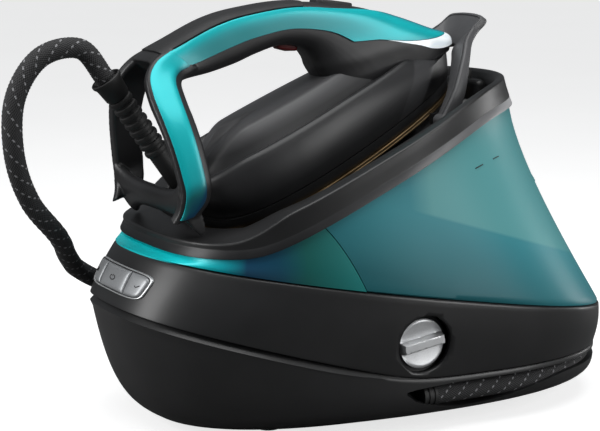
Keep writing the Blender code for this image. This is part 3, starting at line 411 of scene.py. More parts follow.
class Shader:
    """A Principled material that is built up node by node, in the frame's own coordinates."""

    def __init__(self, name, colour, roughness, metallic=0.0, **inputs):
        self.material = bpy.data.materials.new(name)
        self.material.use_nodes = True
        self.tree = self.material.node_tree
        self.main = self.tree.nodes["Principled BSDF"]
        self.place = self.output("ShaderNodeTexCoord", "Object")
        self.set("Base Color", (*colour, 1.0))
        self.set("Roughness", roughness)
        self.set("Metallic", metallic)
        for key, value in inputs.items():
            self.set(key.replace("_", " "), value)
        self.height = None

    def join(self, value, target):
        """Give an input a value, or link an output to it."""
        if isinstance(value, bpy.types.NodeSocket):
            self.tree.links.new(value, target)
        else:
            target.default_value = value

    def output(self, kind, name, inputs=None, **settings):
        """An output of a new node with these inputs."""
        made = self.tree.nodes.new(kind)
        for key, value in settings.items():
            setattr(made, key, value)
        for key, value in (inputs or {}).items():
            self.join(value, made.inputs[key])
        return made.outputs[name]

    def set(self, name, value):
        self.join(value, self.main.inputs[name])

    def math(self, operation, *values):
        return self.output("ShaderNodeMath", 0, dict(enumerate(values)), operation=operation)

    def times(self, first, second):
        return self.math("MULTIPLY", first, second)

    def plus(self, first, second):
        return self.math("ADD", first, second)

    def noise(self, scale, detail=2.0, stretch=None):
        place = self.place
        if stretch:
            place = self.output("ShaderNodeMapping", "Vector", {"Scale": stretch, "Vector": place})
        return self.output("ShaderNodeTexNoise", "Fac", {"Scale": scale, "Detail": detail, "Vector": place})

    def ramp(self, value, *stops):
        """A colour or grey ramp from (position, value) stops."""
        made = self.output("ShaderNodeValToRGB", "Color", {"Fac": value})
        elements = made.node.color_ramp.elements
        while len(elements) < len(stops):
            elements.new(0.5)
        for element, (position, colour) in zip(elements, stops):
            element.position = position
            element.color = (*colour, 1.0) if isinstance(colour, tuple) else (colour, colour, colour, 1.0)
        return made

    def switch(self, value, start, end):
        """Black up to the start and white from the end."""
        return self.ramp(value, (start, 0.0), (end, 1.0))

    def range(self, value, low, high):
        """A 0 to 1 value as a value from low to high."""
        return self.plus(self.times(value, high - low), low)

    def colour(self, value, *stops):
        self.set("Base Color", self.ramp(value, *stops))

    def gloss(self, value, low, high):
        """A roughness that follows a 0 to 1 value."""
        self.set("Roughness", self.range(value, low, high))

    def blend(self, share, first, second):
        made = self.output("ShaderNodeMix", "Result", {"Factor": share}, data_type="RGBA").node
        for name, value in (("A", first), ("B", second)):
            socket = [s for s in made.inputs if s.name == name and s.type == "RGBA"][0]
            self.join((*value, 1.0) if isinstance(value, tuple) else value, socket)
        return [s for s in made.outputs if s.type == "RGBA"][0]

    def bump(self, height, strength, distance):
        """Add a bump on top of the ones already there."""
        inputs = {"Strength": strength, "Distance": distance, "Height": height}
        if self.height is not None:
            inputs["Normal"] = self.height
        self.height = self.output("ShaderNodeBump", "Normal", inputs)
        self.set("Normal", self.height)

    def axis(self, name, vector=None):
        """One coordinate of a vector, by default of the surface's place."""
        return self.output("ShaderNodeSeparateXYZ", name, {"Vector": vector or self.place})

    def along(self, direction, origin):
        """How far the surface lies from a point in this direction."""
        inputs = {0: self.place, 1: direction}
        far = self.output("ShaderNodeVectorMath", "Value", inputs, operation="DOT_PRODUCT")
        return self.math("SUBTRACT", far, direction.dot(origin))

    def facing(self, direction):
        """How far the surface faces this direction or its mirror image on the other side, from -1 to 1."""
        normal = self.output("ShaderNodeNewGeometry", "Normal")
        x, y, z = Vector(direction).normalized()
        across = self.times(self.math("ABSOLUTE", self.axis("X", normal)), x)
        level = self.plus(across, self.times(self.axis("Y", normal), y))
        return self.plus(level, self.times(self.axis("Z", normal), z))


def moulded(name, colour, roughness, grain=0.1, size=1800.0, **inputs):
    """Moulded plastic: a fine grain, a slow waviness and small changes of gloss and shade."""
    shader = Shader(name, colour, roughness, **inputs)
    cloud = shader.noise(24.0, 3.0)
    dark, light = (tuple(share * c for c in colour) for share in (0.82, 1.18))
    shader.gloss(cloud, roughness - 0.05, roughness + 0.05)
    shader.colour(cloud, (0.3, dark), (0.7, light))
    shader.bump(shader.noise(size, 2.0), grain, 0.0002)
    shader.bump(shader.noise(35.0, 1.0), 0.05, 0.0004)
    return shader


def gloss_black():
    return moulded("gloss_black", (0.012, 0.012, 0.0125), 0.4, grain=0.03, size=900.0, Coat_Weight=0.12,
                   Coat_Roughness=0.22).material


def satin_black():
    return moulded("satin_black", (0.012, 0.012, 0.0125), 0.4, grain=0.14).material


def dark_grey():
    return moulded("dark_grey", (0.017, 0.017, 0.018), 0.42, grain=0.12).material


def mid_grey():
    return moulded("mid_grey", (0.075, 0.075, 0.078), 0.44, grain=0.12).material


def body_grey():
    """The iron's body: a painted highlight makes its crown grey, as if lit from above; it is darker on its
    cheeks and flanks, and almost black at the nose.
    """
    shader = moulded("body_grey", (0.017, 0.017, 0.018), 0.42, grain=0.12)
    flank = shader.main.inputs["Base Color"].links[0].from_socket
    turned = IRON.to_3x3()
    rise = shader.along(turned @ Vector((0.0, 0.0, 1.0)), IRON_HEEL)
    # crown is a painted highlight: the upper body is painted lighter grey where the light from above falls on
    # it.
    crown = shader.switch(shader.times(rise, 10.0), 0.49, 0.58)
    ahead = shader.times(shader.along(turned @ Vector((0.0, 1.0, -1.3)), IRON_HEEL), 4.0)
    cheek = shader.ramp(ahead, (0.64, 0.0), (0.648, 1.0), (0.756, 1.0), (0.764, 0.0))
    shaded = shader.blend(cheek, shader.blend(crown, flank, (0.085, 0.085, 0.088)), (0.036, 0.036, 0.038))
    shader.set("Base Color", shader.blend(shader.switch(ahead, 0.756, 0.764), shaded, (0.006, 0.006, 0.0065)))
    return shader.material


def soft_grip():
    """The rubbery cover on top of the grip, with rows of fine dots."""
    shader = Shader("soft_grip", (0.012, 0.012, 0.013), 0.62)
    dots = {"Scale": 900.0, "Vector": shader.place}
    shader.bump(shader.output("ShaderNodeTexVoronoi", "Distance", dots, feature="F1"), 0.35, 0.0004)
    shader.gloss(shader.noise(60.0), 0.52, 0.7)
    return shader.material


def rubber():
    return moulded("rubber", (0.011, 0.011, 0.011), 0.6, grain=0.25, size=1200.0).material


def flaked(shader, size, low, high):
    """The fine flakes of metallic paint, in its gloss and its relief."""
    flakes = shader.noise(size, 1.0)
    shader.gloss(flakes, low, high)
    shader.bump(flakes, 0.05, 0.0001)
    return shader.material


def iron_paint():
    """Metallic paint: cyan where it faces up and ahead, teal on its sides and blue where it turns down. Its
    darkening as it turns away from the lights is painted shade, and the turn to blue is the paint's own
    shift.
    """
    shader = Shader("iron_paint", (0.0, 0.5, 0.55), 0.36, 0.25, Coat_Weight=0.12, Coat_Roughness=0.12)
    towards = shader.range(shader.facing((0.5, -0.55, 0.67)), 0.5, 1.0)
    # This ramp paints light and shade by facing: brightest cyan towards the lights, darker teal and dark blue
    # as the surface turns away from them.
    shade_and_shift = shader.ramp(towards, (0.6, (0.004, 0.06, 0.13)), (0.72, (0.001, 0.17, 0.18)),
                        (0.79, (0.0, 0.3, 0.33)), (0.86, (0.0, 0.52, 0.555)))
    crown = shader.ramp(shader.facing((0.15, 0.5, 0.85)), (0.93, 0.0), (0.98, 0.85))
    shader.set("Base Color", shader.blend(crown, shade_and_shift, (0.006, 0.13, 0.26)))
    return flaked(shader, 2600.0, 0.3, 0.42)


def band_paint():
    """Cyan across the front, then blue, and a green teal along the sides that is paler towards the rear: the
    bright cyan front is painted light and the blue is a painted reflection.
    """
    shader = Shader("band_paint", (0.0, 0.5, 0.55), 0.38, 0.15, Coat_Weight=0.12, Coat_Roughness=0.12)
    shifted = shader.plus(shader.axis("Y"), shader.range(shader.noise(40.0), -0.004, 0.004))
    # Along y this ramp paints the light on the band: brighter cyan at the front where the light falls, then a
    # painted blue reflection, then darker teal-green along the sides.
    shader.colour(shader.times(shader.plus(shifted, 0.2), 5.0),
                  (0.3, (0.0, 0.74, 0.79)), (0.36, (0.0, 0.56, 0.66)), (0.42, (0.008, 0.09, 0.19)),
                  (0.51, (0.006, 0.085, 0.15)), (0.6, (0.006, 0.13, 0.115)), (0.9, (0.01, 0.26, 0.25)))
    return flaked(shader, 2600.0, 0.32, 0.44)


def clear_teal():
    """Tinted plastic that lets a little light through: paler over the hollow, where the light that comes
    through is painted on, and darker towards its foot.
    """
    shader = Shader("clear_teal", (0.06, 0.25, 0.275), 0.38, IOR=1.45)
    shader.set("Specular IOR Level", 0.3)
    edge = shader.output("ShaderNodeLayerWeight", "Facing", {"Blend": 0.3})
    y, z = shader.axis("Y"), shader.axis("Z")
    above = shader.math("SUBTRACT", shader.plus(z, shader.times(y, 0.312)), 0.1552)
    over_line = shader.switch(shader.plus(shader.times(above, 60.0), 0.5), 0.44, 0.56)
    behind = shader.switch(shader.plus(shader.times(y, 4.0), 0.5), 0.49, 0.56)
    foot = shader.ramp(shader.plus(shader.times(above, 8.0), 0.5), (0.1, 1.0), (0.48, 0.0))
    plain = shader.ramp(shader.noise(9.0, 2.0), (0.3, (0.04, 0.28, 0.33)), (0.75, (0.05, 0.31, 0.355)))
    # The paler patch over the hollow is painted light, standing in for light that comes through the plastic.
    tinted = shader.blend(shader.times(over_line, behind), plain, (0.12, 0.4, 0.41))
    shaded = shader.blend(shader.times(foot, 0.75), tinted, (0.008, 0.085, 0.1))
    shader.set("Base Color", shader.blend(shader.times(edge, 0.55), shaded, (0.02, 0.15, 0.175)))
    shader.gloss(shader.noise(30.0), 0.34, 0.44)
    clear = shader.output("ShaderNodeBsdfTransparent", "BSDF", {"Color": (0.42, 0.78, 0.8, 1.0)})
    mixed = {"Fac": shader.range(edge, 0.84, 0.98), 1: clear, 2: shader.main.outputs["BSDF"]}
    surface = shader.output("ShaderNodeMixShader", "Shader", mixed)
    shader.join(surface, shader.tree.nodes["Material Output"].inputs["Surface"])
    return shader.material


def silvery(shader, flakes, dark, light, waviness):
    """Silver paint whose flakes run from dark to light."""
    shader.colour(flakes, (0.3, dark), (0.7, light))
    shader.gloss(shader.noise(waviness), 0.34, 0.46)
    shader.bump(flakes, 0.05, 0.0001)
    return shader.material


def silver_paint():
    shader = Shader("silver_paint", (0.55, 0.56, 0.57), 0.32, 0.75)
    return silvery(shader, shader.noise(3000.0, 1.0), (0.58, 0.59, 0.6), (0.74, 0.75, 0.76), 80.0)


def deck_chamfer_highlight():
    """The chamfer under the deck's rim: black in front, with a painted highlight that grows brighter towards
    the rear.
    """
    shader = Shader("deck_chamfer_highlight", (0.05, 0.05, 0.05), 0.38, 0.2)
    # A painted highlight: the chamfer is painted from black to grey and near silver towards the rear, where
    # light reflects off it.
    place = shader.plus(shader.times(shader.axis("Y"), 4.0), 0.4)
    shader.colour(place, (0.05, (0.014, 0.014, 0.015)), (0.5, (0.07, 0.07, 0.072)),
                  (0.74, (0.2, 0.2, 0.205)), (0.86, (0.48, 0.48, 0.49)))
    shader.gloss(shader.noise(80.0), 0.32, 0.44)
    shader.bump(shader.noise(1800.0), 0.06, 0.0001)
    return shader.material


def light_silver():
    shader = Shader("light_silver", (0.36, 0.37, 0.38), 0.4, 0.5)
    return silvery(shader, shader.noise(2500.0), (0.3, 0.31, 0.32), (0.4, 0.41, 0.42), 90.0)


def metal(name, colour, roughness, grain, size, stretch=None):
    """Bare metal with a grain that may run one way."""
    shader = Shader(name, colour, roughness, 1.0)
    lines = shader.noise(size, 3.0, stretch)
    shader.gloss(lines, roughness - 0.08, roughness + 0.12)
    shader.colour(lines, (0.25, tuple(0.75 * c for c in colour)), (0.75, colour))
    shader.bump(lines, grain, 0.0002)
    return shader.material


def sole_coating():
    shader = Shader("sole_coating", (0.16, 0.105, 0.05), 0.34, 0.8)
    shader.colour(shader.noise(50.0, 3.0), (0.3, (0.12, 0.075, 0.032)), (0.7, (0.22, 0.15, 0.075)))
    shader.bump(shader.noise(1500.0), 0.06, 0.0001)
    return shader.material


def white_lens():
    shader = Shader("white_lens", (0.8, 0.84, 0.86), 0.18, Coat_Weight=0.5)
    shader.set("Emission Color", (0.85, 0.92, 0.95, 1.0))
    shader.set("Emission Strength", 0.35)
    bands = shader.noise(260.0, 1.0, (1.0, 0.2, 1.0))
    shader.colour(bands, (0.35, (0.62, 0.68, 0.72)), (0.65, (0.86, 0.9, 0.92)))
    return shader.material


def woven():
    """A braided sleeve: slanted threads in relief, painted darker in the hollows between them as shade, with
    pale flecks along the braid.
    """
    shader = Shader("woven", (0.014, 0.014, 0.015), 0.78)
    place = shader.output("ShaderNodeUVMap", "UV", uv_map="along")
    along, turn = shader.axis("X", place), shader.axis("Y", place)
    threads = shader.plus(shader.times(along, BRAID_PITCH), shader.times(turn, BRAID_TURNS))
    wave = shader.math("SINE", shader.times(threads, TURN))
    cross = shader.math("SINE", shader.times(turn, TURN * 28.0))
    weave = shader.range(shader.times(wave, cross), 0.5, 1.0)
    # The colour follows the relief: painted shade darkens the hollows between the threads.
    dark = shader.ramp(weave, (0.2, (0.006, 0.006, 0.006)), (0.8, (0.045, 0.045, 0.047)))
    helix = shader.math("FRACT", shader.plus(shader.times(turn, 4.0), shader.times(along, 74.0)))
    dash = shader.math("FRACT", shader.math("SUBTRACT", shader.times(along, 210.0), shader.times(turn, 2.0)))
    fleck = shader.times(shader.math("LESS_THAN", helix, 0.13), shader.math("LESS_THAN", dash, 0.42))
    shader.set("Base Color", shader.blend(fleck, dark, (0.26, 0.26, 0.27)))
    shader.bump(weave, 0.55, 0.0006)
    return shader.material


def dark_red():
    return moulded("dark_red", (0.105, 0.002, 0.003), 0.34, grain=0.05).material


def pale_silicone():
    return moulded("pale_silicone", (0.2, 0.21, 0.22), 0.6, grain=0.15).material


def circuit_board():
    shader = moulded("circuit_board", (0.01, 0.11, 0.04), 0.4, grain=0.08)
    tracks = {"Scale": 160.0, "Color1": (0.01, 0.12, 0.045, 1.0), "Color2": (0.01, 0.09, 0.035, 1.0),
              "Mortar": (0.35, 0.25, 0.08, 1.0), "Vector": shader.place}
    shader.set("Base Color", shader.output("ShaderNodeTexBrick", "Color", tracks))
    return shader.material


def floor_finish():
    """White with a soft shadow for the camera, but dim for the object, which it would light from below."""
    shader = Shader("pale_floor", (0.86, 0.86, 0.86), 0.7)
    seen = shader.output("ShaderNodeLightPath", "Is Camera Ray")
    white = shader.ramp(shader.noise(3.0, 2.0), (0.3, (0.5, 0.5, 0.5)), (0.7, (0.54, 0.54, 0.54)))
    shader.set("Base Color", shader.blend(seen, (0.16, 0.16, 0.16), white))
    shader.set("Emission Color", (1.0, 1.0, 1.0, 1.0))
    shader.set("Emission Strength", shader.range(seen, 0.0, 0.74))
    shader.set("Specular IOR Level", 0.0)
    return shader.material


GLOSS_BLACK = gloss_black()
SATIN_BLACK = satin_black()
DARK_GREY = dark_grey()
BODY_GREY = body_grey()
MID_GREY = mid_grey()
SOFT_GRIP = soft_grip()
RUBBER = rubber()
PAINT = iron_paint()
BAND_PAINT = band_paint()
CLEAR_TEAL = clear_teal()
SILVER = silver_paint()
DECK_CHAMFER_HIGHLIGHT = deck_chamfer_highlight()
LIGHT_SILVER = light_silver()
STEEL = metal("drawn_steel", (0.5, 0.5, 0.49), 0.3, 0.1, 400.0, (1.0, 1.0, 0.05))
CASTING = metal("cast_aluminium", (0.42, 0.42, 0.41), 0.48, 0.4, 700.0)
BRASS = metal("brass", (0.6, 0.43, 0.15), 0.32, 0.1, 500.0)
SOLE_BROWN = sole_coating()
WHITE_LENS = white_lens()
WOVEN = woven()
DARK_RED = dark_red()
SILICONE = pale_silicone()
BOARD = circuit_board()

# ---------------------------------------------------------------- base

PLINTH_HEIGHT = 0.003
TUB_WALL = 0.026
CHANNEL_LOW, CHANNEL_TOP, CHANNEL_DEPTH = 0.0135, 0.0325, 0.02
CHANNEL_FRONT_Y = -0.0084


def step(y):
    """How far the hull is stepped in under the housing: it fades out half way back."""
    return 0.0004 + 0.0034 * (1.0 - smooth(-0.075, 0.015, y))


def ring_by(point, count=216):
    """A closed ring from a function of the direction."""
    return [point(TURN * i / count) for i in range(count)]


def hull_point(angle, share, grow=0.0):
    """A point of the lower hull, from the footprint at 0 to the crease at 1."""
    front = mix(FOOTPRINT.front, CREASE.front, share**0.38)
    level = mix_outline(FOOTPRINT, CREASE, 1.0 - (1.0 - share) ** 5)._replace(front=front)
    x, y = outline_point(level, angle, grow)
    return Vector((x, y, mix(PLINTH_HEIGHT, crease_z(y) - GAP, share)))


def chamfer_point(angle, share):
    """A point of the hull's upper chamfer, which runs up and in under the housing."""
    p = hull_point(angle, 1.0)
    width = step(p.y)
    q = hull_point(angle, 1.0, -width * share)
    return Vector((q.x, q.y, q.z - 1.35 * width * (1.0 - share)))


def hull_shell():
    """The lower hull, stepped in under the housing, with the hose channel round its back."""
    outer = [ring(FOOTPRINT, 0.0, -0.038), ring(FOOTPRINT, PLINTH_HEIGHT, -0.036)]
    outer += [ring(FOOTPRINT, PLINTH_HEIGHT, -0.004), ring(FOOTPRINT, PLINTH_HEIGHT + 0.0003, -0.002)]
    outer += [ring_by(lambda a, s=share: hull_point(a, s)) for share in spread(0.02, 0.9, 22)]
    outer += [ring_by(lambda a, s=share: chamfer_point(a, s)) for share in (0.0, 0.04, 0.5, 0.96, 1.0)]
    outer.append(ring(CREASE, lambda y: crease_z(y) - GAP, -0.008))
    inner = [
        ring(mix_outline(FOOTPRINT, CREASE, 0.6), lambda y: crease_z(y) - 0.001, -0.02),
        ring(mix_outline(FOOTPRINT, CREASE, 0.3), 0.02, -TUB_WALL),
        ring(FOOTPRINT, PLINTH_HEIGHT + WALL, -TUB_WALL),
    ]
    hull = new_piece("hull_shell", cupped(outer[::-1], inner), "base", GLOSS_BLACK, "base_tub")
    cut(hull, channel_tool())
    bevelled(hull, 0.001, 3, 50.0)


def slot_low(y):
    """The lower edge of the opening, which rises towards the rear and hides the hose's lower half."""
    return CHANNEL_LOW + 0.0123 * smooth(0.045, 0.15, y)


def channel_tool():
    """The bar that cuts the hose channel: slim at its front ends and full height behind them."""
    start = side_angle(CREASE, CHANNEL_FRONT_Y)
    rings = []
    for angle in spread(start, TURN - start, 90):
        from_end = min(angle - start, TURN - start - angle)
        open_share = sqrt(min(1.0, from_end / 0.3))
        a, b = outline_point(CREASE, angle, -CHANNEL_DEPTH), outline_point(CREASE, angle, 0.01)
        low = mix(0.0275, slot_low(b[1]), open_share)
        high = mix(0.0295, CHANNEL_TOP, open_share)
        rings.append([Vector((*a, low)), Vector((*b, low)), Vector((*b, high)), Vector((*a, high))])
    return loose("channel_tool", lofted(rings))


def housing_point(angle, share, out=0.0):
    """A point of the housing's outer side, moved out from it."""
    level = mix_outline(CREASE, SEAM, share)
    x, y = outline_point(level, angle, out + HOUSING_BULGE * sin(pi * share))
    return Vector((x, y, side_z(y, share)))


def housing_shell():
    """The glossy band of the base, rounded along its top and bottom edges and closed on top."""
    profile = [(0.0, -0.01), (0.0, -0.0014), (0.004, -0.0006), (0.012, -0.0001)]
    profile += [(share, 0.0) for share in spread(0.03, 0.955, 16)]
    profile += [(0.972, -0.0002), (0.986, -0.0008), (0.996, -0.0017), (1.0, -0.0032), (1.0, -0.013)]
    outer = [ring_by(lambda a, s=share, g=grow: housing_point(a, s, g)) for share, grow in profile]
    inner = [
        ring(CREASE, lambda y: crease_z(y) + 0.0004, -0.0105),
        ring(mix_outline(CREASE, SEAM, 0.15), lambda y: side_z(y, 0.15), -0.0045),
        ring(mix_outline(CREASE, SEAM, 0.85), lambda y: side_z(y, 0.85), -0.004),
        ring(SEAM, lambda y: seam_z(y) - WALL, -0.006),
    ]
    housing = new_piece("housing_shell", cupped(outer, inner), "base", GLOSS_BLACK, "base_housing")
    centre = knob_centre()
    tool = turned_bm([(0.0, 0.02), (KNOB_ROOM, 0.02), (KNOB_ROOM, -0.03), (0.0, -0.03)])
    port_low, port_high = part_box("tank_socket")
    port = Vector(((port_low.x + port_high.x) / 2, (port_low.y + port_high.y) / 2, port_high.z))
    drill = turned_bm([(0.0, 0.02), (0.0088, 0.02), (0.0088, -0.02), (0.0, -0.02)])
    knob_tool = loose("knob_tool", tool, facing(centre, (1, 0, 0)))
    cut(housing, knob_tool, loose("port_tool", drill, Matrix.Translation(port)))


def knob_centre():
    """The centre of the knob's face."""
    low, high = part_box("calc_knob")
    return Vector((high.x - 0.005, (low.y + high.y) / 2, (low.z + high.z) / 2))


KNOB_RADIUS = (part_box("calc_knob")[1].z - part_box("calc_knob")[0].z) / 2
KNOB_ROOM = KNOB_RADIUS + 0.0032

# ---------------------------------------------------------------- band, deck and tank


def tank_front_y(share):
    return mix(-0.04, -0.066, share)


def band_outline(share):
    """The tank and the accent band flare from the deck edge (1) down to the seam (0)."""
    return mix_outline(DECK_EDGE, SEAM, (1.0 - share) ** 1.4)


def band_point(angle, share, grow=0.0):
    x, y = outline_point(band_outline(share), angle, grow)
    return Vector((x, y, mix(seam_z(y) + GAP, deck_z(y) - GAP, share)))


def accent_band():
    """The painted band, a thin skin with rounded edges."""
    grid = []
    for share in spread(0.0, 1.0, 22):
        end = side_angle(band_outline(share), tank_front_y(share) - GAP)
        grid.append([band_point(angle, share) for angle in spread(-end, end, 160)])
    band = new_piece("accent_band", sheet(grid), "base", BAND_PAINT, "accent_cover")
    thickened(band, WALL)
    bevelled(band, 0.0005, 2, 60.0)


def deck_ring(height, grow, outline=DECK_EDGE):
    return ring(outline, lambda y: deck_z(y) + (height(y) if callable(height) else height), grow)


def deck_shell():
    """The black deck: a chamfered lower edge, a flat rim, the apron in front and the tray."""
    chamfer, out, edge = 0.006, 0.0022, 0.0018
    outer = [
        deck_ring(0.0, out - 0.0008),
        deck_ring(0.0004, out),
        deck_ring(0.001, out),
        deck_ring(chamfer - 0.0002, 0.0001),
        deck_ring(chamfer, 0.0),
        deck_ring(chamfer + 0.0006, 0.0),
    ]
    middle = mix_outline(DECK_EDGE, RIM_EDGE, 0.5)
    outer.append(deck_ring(lambda y: mix(chamfer, rim_height(y) - edge, 0.5), 0.0, middle))
    for turn in spread(0.0, 0.5 * pi, 6):
        inward = 0.0002 - edge * (1.0 - cos(turn))
        outer.append(deck_ring(lambda y, t=turn: rim_height(y) - edge * (1.0 - sin(t)), inward, RIM_EDGE))
    for share in (0.15, 0.35, 0.6, 0.85, 1.0):
        level = mix_outline(RIM_EDGE, TRAY_LIP, share)
        def height(y, s=share):
            return mix(deck_z(y) + rim_height(y), tray_lip_z(y), s) + 0.0008 * sin(pi * s)
        outer.append(ring(level, height, -0.002 * (1.0 - share)))
    outer += [
        ring(TRAY_LIP, lambda y: tray_lip_z(y) - 0.0008, -0.0012),
        ring(TRAY_LIP, lambda y: mix(tray_lip_z(y), tray_floor_z(y), 0.5), -0.0035),
        ring(TRAY_LIP, tray_floor_z, -0.008),
        ring(TRAY_LIP, tray_floor_z, -0.01),
        ring(TRAY_MIDDLE, tray_floor_z),
    ]
    inner = [
        deck_ring(0.0, -WALL),
        deck_ring(lambda y: rim_height(y) - 0.0042, -WALL - 0.0008, RIM_EDGE),
        ring(TRAY_LIP, lambda y: tray_lip_z(y) - 0.0035, 0.0025),
        ring(TRAY_LIP, lambda y: tray_floor_z(y) - WALL, -0.005),
        ring(TRAY_MIDDLE, lambda y: tray_floor_z(y) - WALL),
    ]
    deck = new_piece("deck_shell", cupped(outer, inner), "base", [SATIN_BLACK, DECK_CHAMFER_HIGHLIGHT], "cradle_deck")
    # Faces on the chamfer get the material with the painted highlight.
    for face in deck.data.polygons:
        height = face.center.z - deck_z(face.center.y)
        face.material_index = int(0.0006 < height < chamfer - 0.0001)


def tank_top_z(y):
    return tray_floor_z(y) - WALL - 0.0012


def tank_ring(share, inset, top=None):
    """A ring round the tank: its flared back and sides, then the straight front wall."""
    end = side_angle(band_outline(share), tank_front_y(share) + GAP + inset, -inset)
    points = [band_point(angle, share, -inset) for angle in spread(end, TURN - end, 180)]
    left, right = points[-1], points[0]
    points += [left.lerp(right, i / 24) for i in range(1, 24)]
    if top is not None:
        points = [Vector((p.x, p.y, top(p.y))) for p in points]
    return points


def tank_shell():
    """The clear tank, hollow, with room for the tray above it."""
    shares = [0.0, 0.012, *spread(0.04, 0.97, 16), 1.0]
    insets = [0.0012, 0.0002] + [0.0] * 17
    outer = [tank_ring(share, inset) for share, inset in zip(shares, insets)]
    hollow = [tank_ring(0.0, WALL, lambda y: seam_z(y) + 0.003)]
    hollow += [tank_ring(share, WALL) for share in spread(0.1, 0.75, 8)]
    hollow.append(tank_ring(0.92, WALL, lambda y: min(tank_top_z(y), deck_z(y) - 0.008) - WALL))
    tray_room = [
        ring(TRAY_LIP, tank_top_z, -0.0035),
        ring(TRAY_LIP, lambda y: max(tank_top_z(y) + 0.03, deck_z(y) + 0.002), 0.002),
    ]
    tank = new_piece("tank_shell", lofted(outer), "tank", CLEAR_TEAL, "water_tank")
    cut(tank, loose("tray_tool", lofted(tray_room)), loose("hollow_tool", lofted(hollow)))


def level_mark():
    """Two short strokes at the highest water level."""
    share = 0.79
    for name, start, end in (("front", 0.056, 0.064), ("rear", 0.076, 0.083)):
        path = [band_point(side_angle(band_outline(share), y), share, 0.0001) for y in spread(start, end, 8)]
        new_piece(f"level_mark_{name}", tube_bm(path, 0.0004, 8), "tank", RUBBER)


def tank_flap():
    """The filler flap on the back of the tank, with a lower edge that stands out for a finger."""
    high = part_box("filler_flap")[1]
    rows = []
    for share in spread(0.578, 0.762, 10):
        lift = 0.001 * smooth(0.63, 0.585, share)
        half = atan2(high.x - 0.001, high.y - SEAM.widest)
        rows.append([band_point(pi + turn, share, lift - 0.0006) for turn in spread(-half, half, 30)])
    flap = new_piece("tank_flap", sheet(rows), "flap", CLEAR_TEAL, "filler_flap")
    thickened(flap, 0.0014, 0.0)
    bevelled(flap, 0.0005, 2, 35.0)


# ---------------------------------------------------------------- control panel and knob

PANEL_LOW, PANEL_HIGH = 0.24, 0.73
PANEL_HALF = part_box("control_bezel")[1].x - 0.0085
PANEL_POWER = 6.0
PANEL_MIDDLE, PANEL_RISE = (PANEL_LOW + PANEL_HIGH) / 2, (PANEL_HIGH - PANEL_LOW) / 2
SHARE_PER_METRE = 11.0


def panel_taper(rise):
    """The panel is slimmer towards its bottom. rise is -1 there and 1 at its top."""
    return 1.0 - 0.035 * (1.0 - rise) ** 1.5


def panel_half(share, inset):
    """Half the panel's width at a height on the housing, less the inset."""
    rise = (share - PANEL_MIDDLE) / (PANEL_RISE - inset * SHARE_PER_METRE)
    return (PANEL_HALF - inset) * panel_taper(rise) * (1.0 - abs(rise) ** PANEL_POWER) ** (1.0 / PANEL_POWER)


def panel_loop(inset, out, count=120):
    """A closed loop round the panel."""
    points = []
    for i in range(count):
        turn = TURN * (i + 0.5) / count
        rise = rounded(sin(turn), 2.0 / PANEL_POWER)
        share = PANEL_MIDDLE + (PANEL_RISE - inset * SHARE_PER_METRE) * rise
        x = (PANEL_HALF - inset) * panel_taper(rise) * rounded(cos(turn), 2.0 / PANEL_POWER)
        points.append(panel_point(x, share, out))
    return points


def panel_point(x, share, out):
    level = mix_outline(CREASE, SEAM, share)
    return housing_point(angle_at_x(level, x), share, out)


def panel_bezel():
    """The silver frame round the buttons."""
    rings = [panel_loop(inset, out) for inset, out in (
        (0.0, -0.001), (0.0, 0.0008), (0.0004, 0.0013), (0.001, 0.0014), (0.0016, 0.0012), (0.0019, 0.0006),
        (0.0019, -0.003), (0.0, -0.003),
    )]
    new_piece("panel_bezel", looped(rings), "base", SILVER, "control_bezel", angle=30.0)


def panel_buttons():
    """Three pillow-shaped buttons that fill the frame between them."""
    gap, inset = 0.001, 0.0027
    border = (inset + 0.0008) * SHARE_PER_METRE
    low, high = PANEL_LOW + border, PANEL_HIGH - border
    for name, body in (("left", "left_button"), ("power", "power_button"), ("ok", "ok_button")):
        box_low, box_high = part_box(f"button_{name}")
        start = box_low.x if name != "left" else -PANEL_HALF
        end = box_high.x if name != "ok" else PANEL_HALF
        grid = []
        for share in spread(low, high, 25):
            half = panel_half(share, inset)
            left, right = max(start + gap, -half), min(end - gap, half)
            row = []
            for x in spread(left, right, 17):
                across = abs(2.0 * (x - left) / (right - left) - 1.0)
                rise = abs(2.0 * (share - low) / (high - low) - 1.0)
                row.append(panel_point(x, share, 0.0004 + 0.0014 * (1.0 - across**8) * (1.0 - rise**8)))
            grid.append(row)
        button = new_piece(f"panel_button_{name}", sheet(grid), body, LIGHT_SILVER, f"button_{name}")
        thickened(button, 0.002)
        apply_modifiers(button)


def symbol(name, strokes, body, x, size):
    """Raised strokes, each a list of points on a unit square, half way up a button."""
    tall = size * SHARE_PER_METRE
    for i, points in enumerate(strokes):
        path = [panel_point(x + p * size, PANEL_MIDDLE + q * tall, 0.0019) for p, q in points]
        new_piece(f"{name}_{i}", tube_bm(path, 0.00036, 8), body, DARK_GREY)


def panel_symbols():
    """A power ring, three waves of steam and a tick on the three buttons."""
    def middle(name):
        low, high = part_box(f"button_{name}")
        return (low.x + high.x) / 2
    ring_stroke = [(0.8 * sin(a), 0.8 * cos(a)) for a in spread(0.6, TURN - 0.6, 20)]
    waves = [[(dx + 0.15 * sin(5.0 * q), q) for q in spread(-0.7, 0.7, 12)] for dx in (-0.6, 0.0, 0.6)]
    tick = [(-0.7, 0.0), (-0.2, -0.5), (0.7, 0.6)]
    symbol("symbol_power", [ring_stroke, [(0.0, 0.2), (0.0, 1.0)]], "power_button", middle("power"), 0.0048)
    symbol("symbol_steam", waves, "left_button", middle("left"), 0.0038)
    symbol("symbol_tick", [tick], "ok_button", middle("ok"), 0.0034)


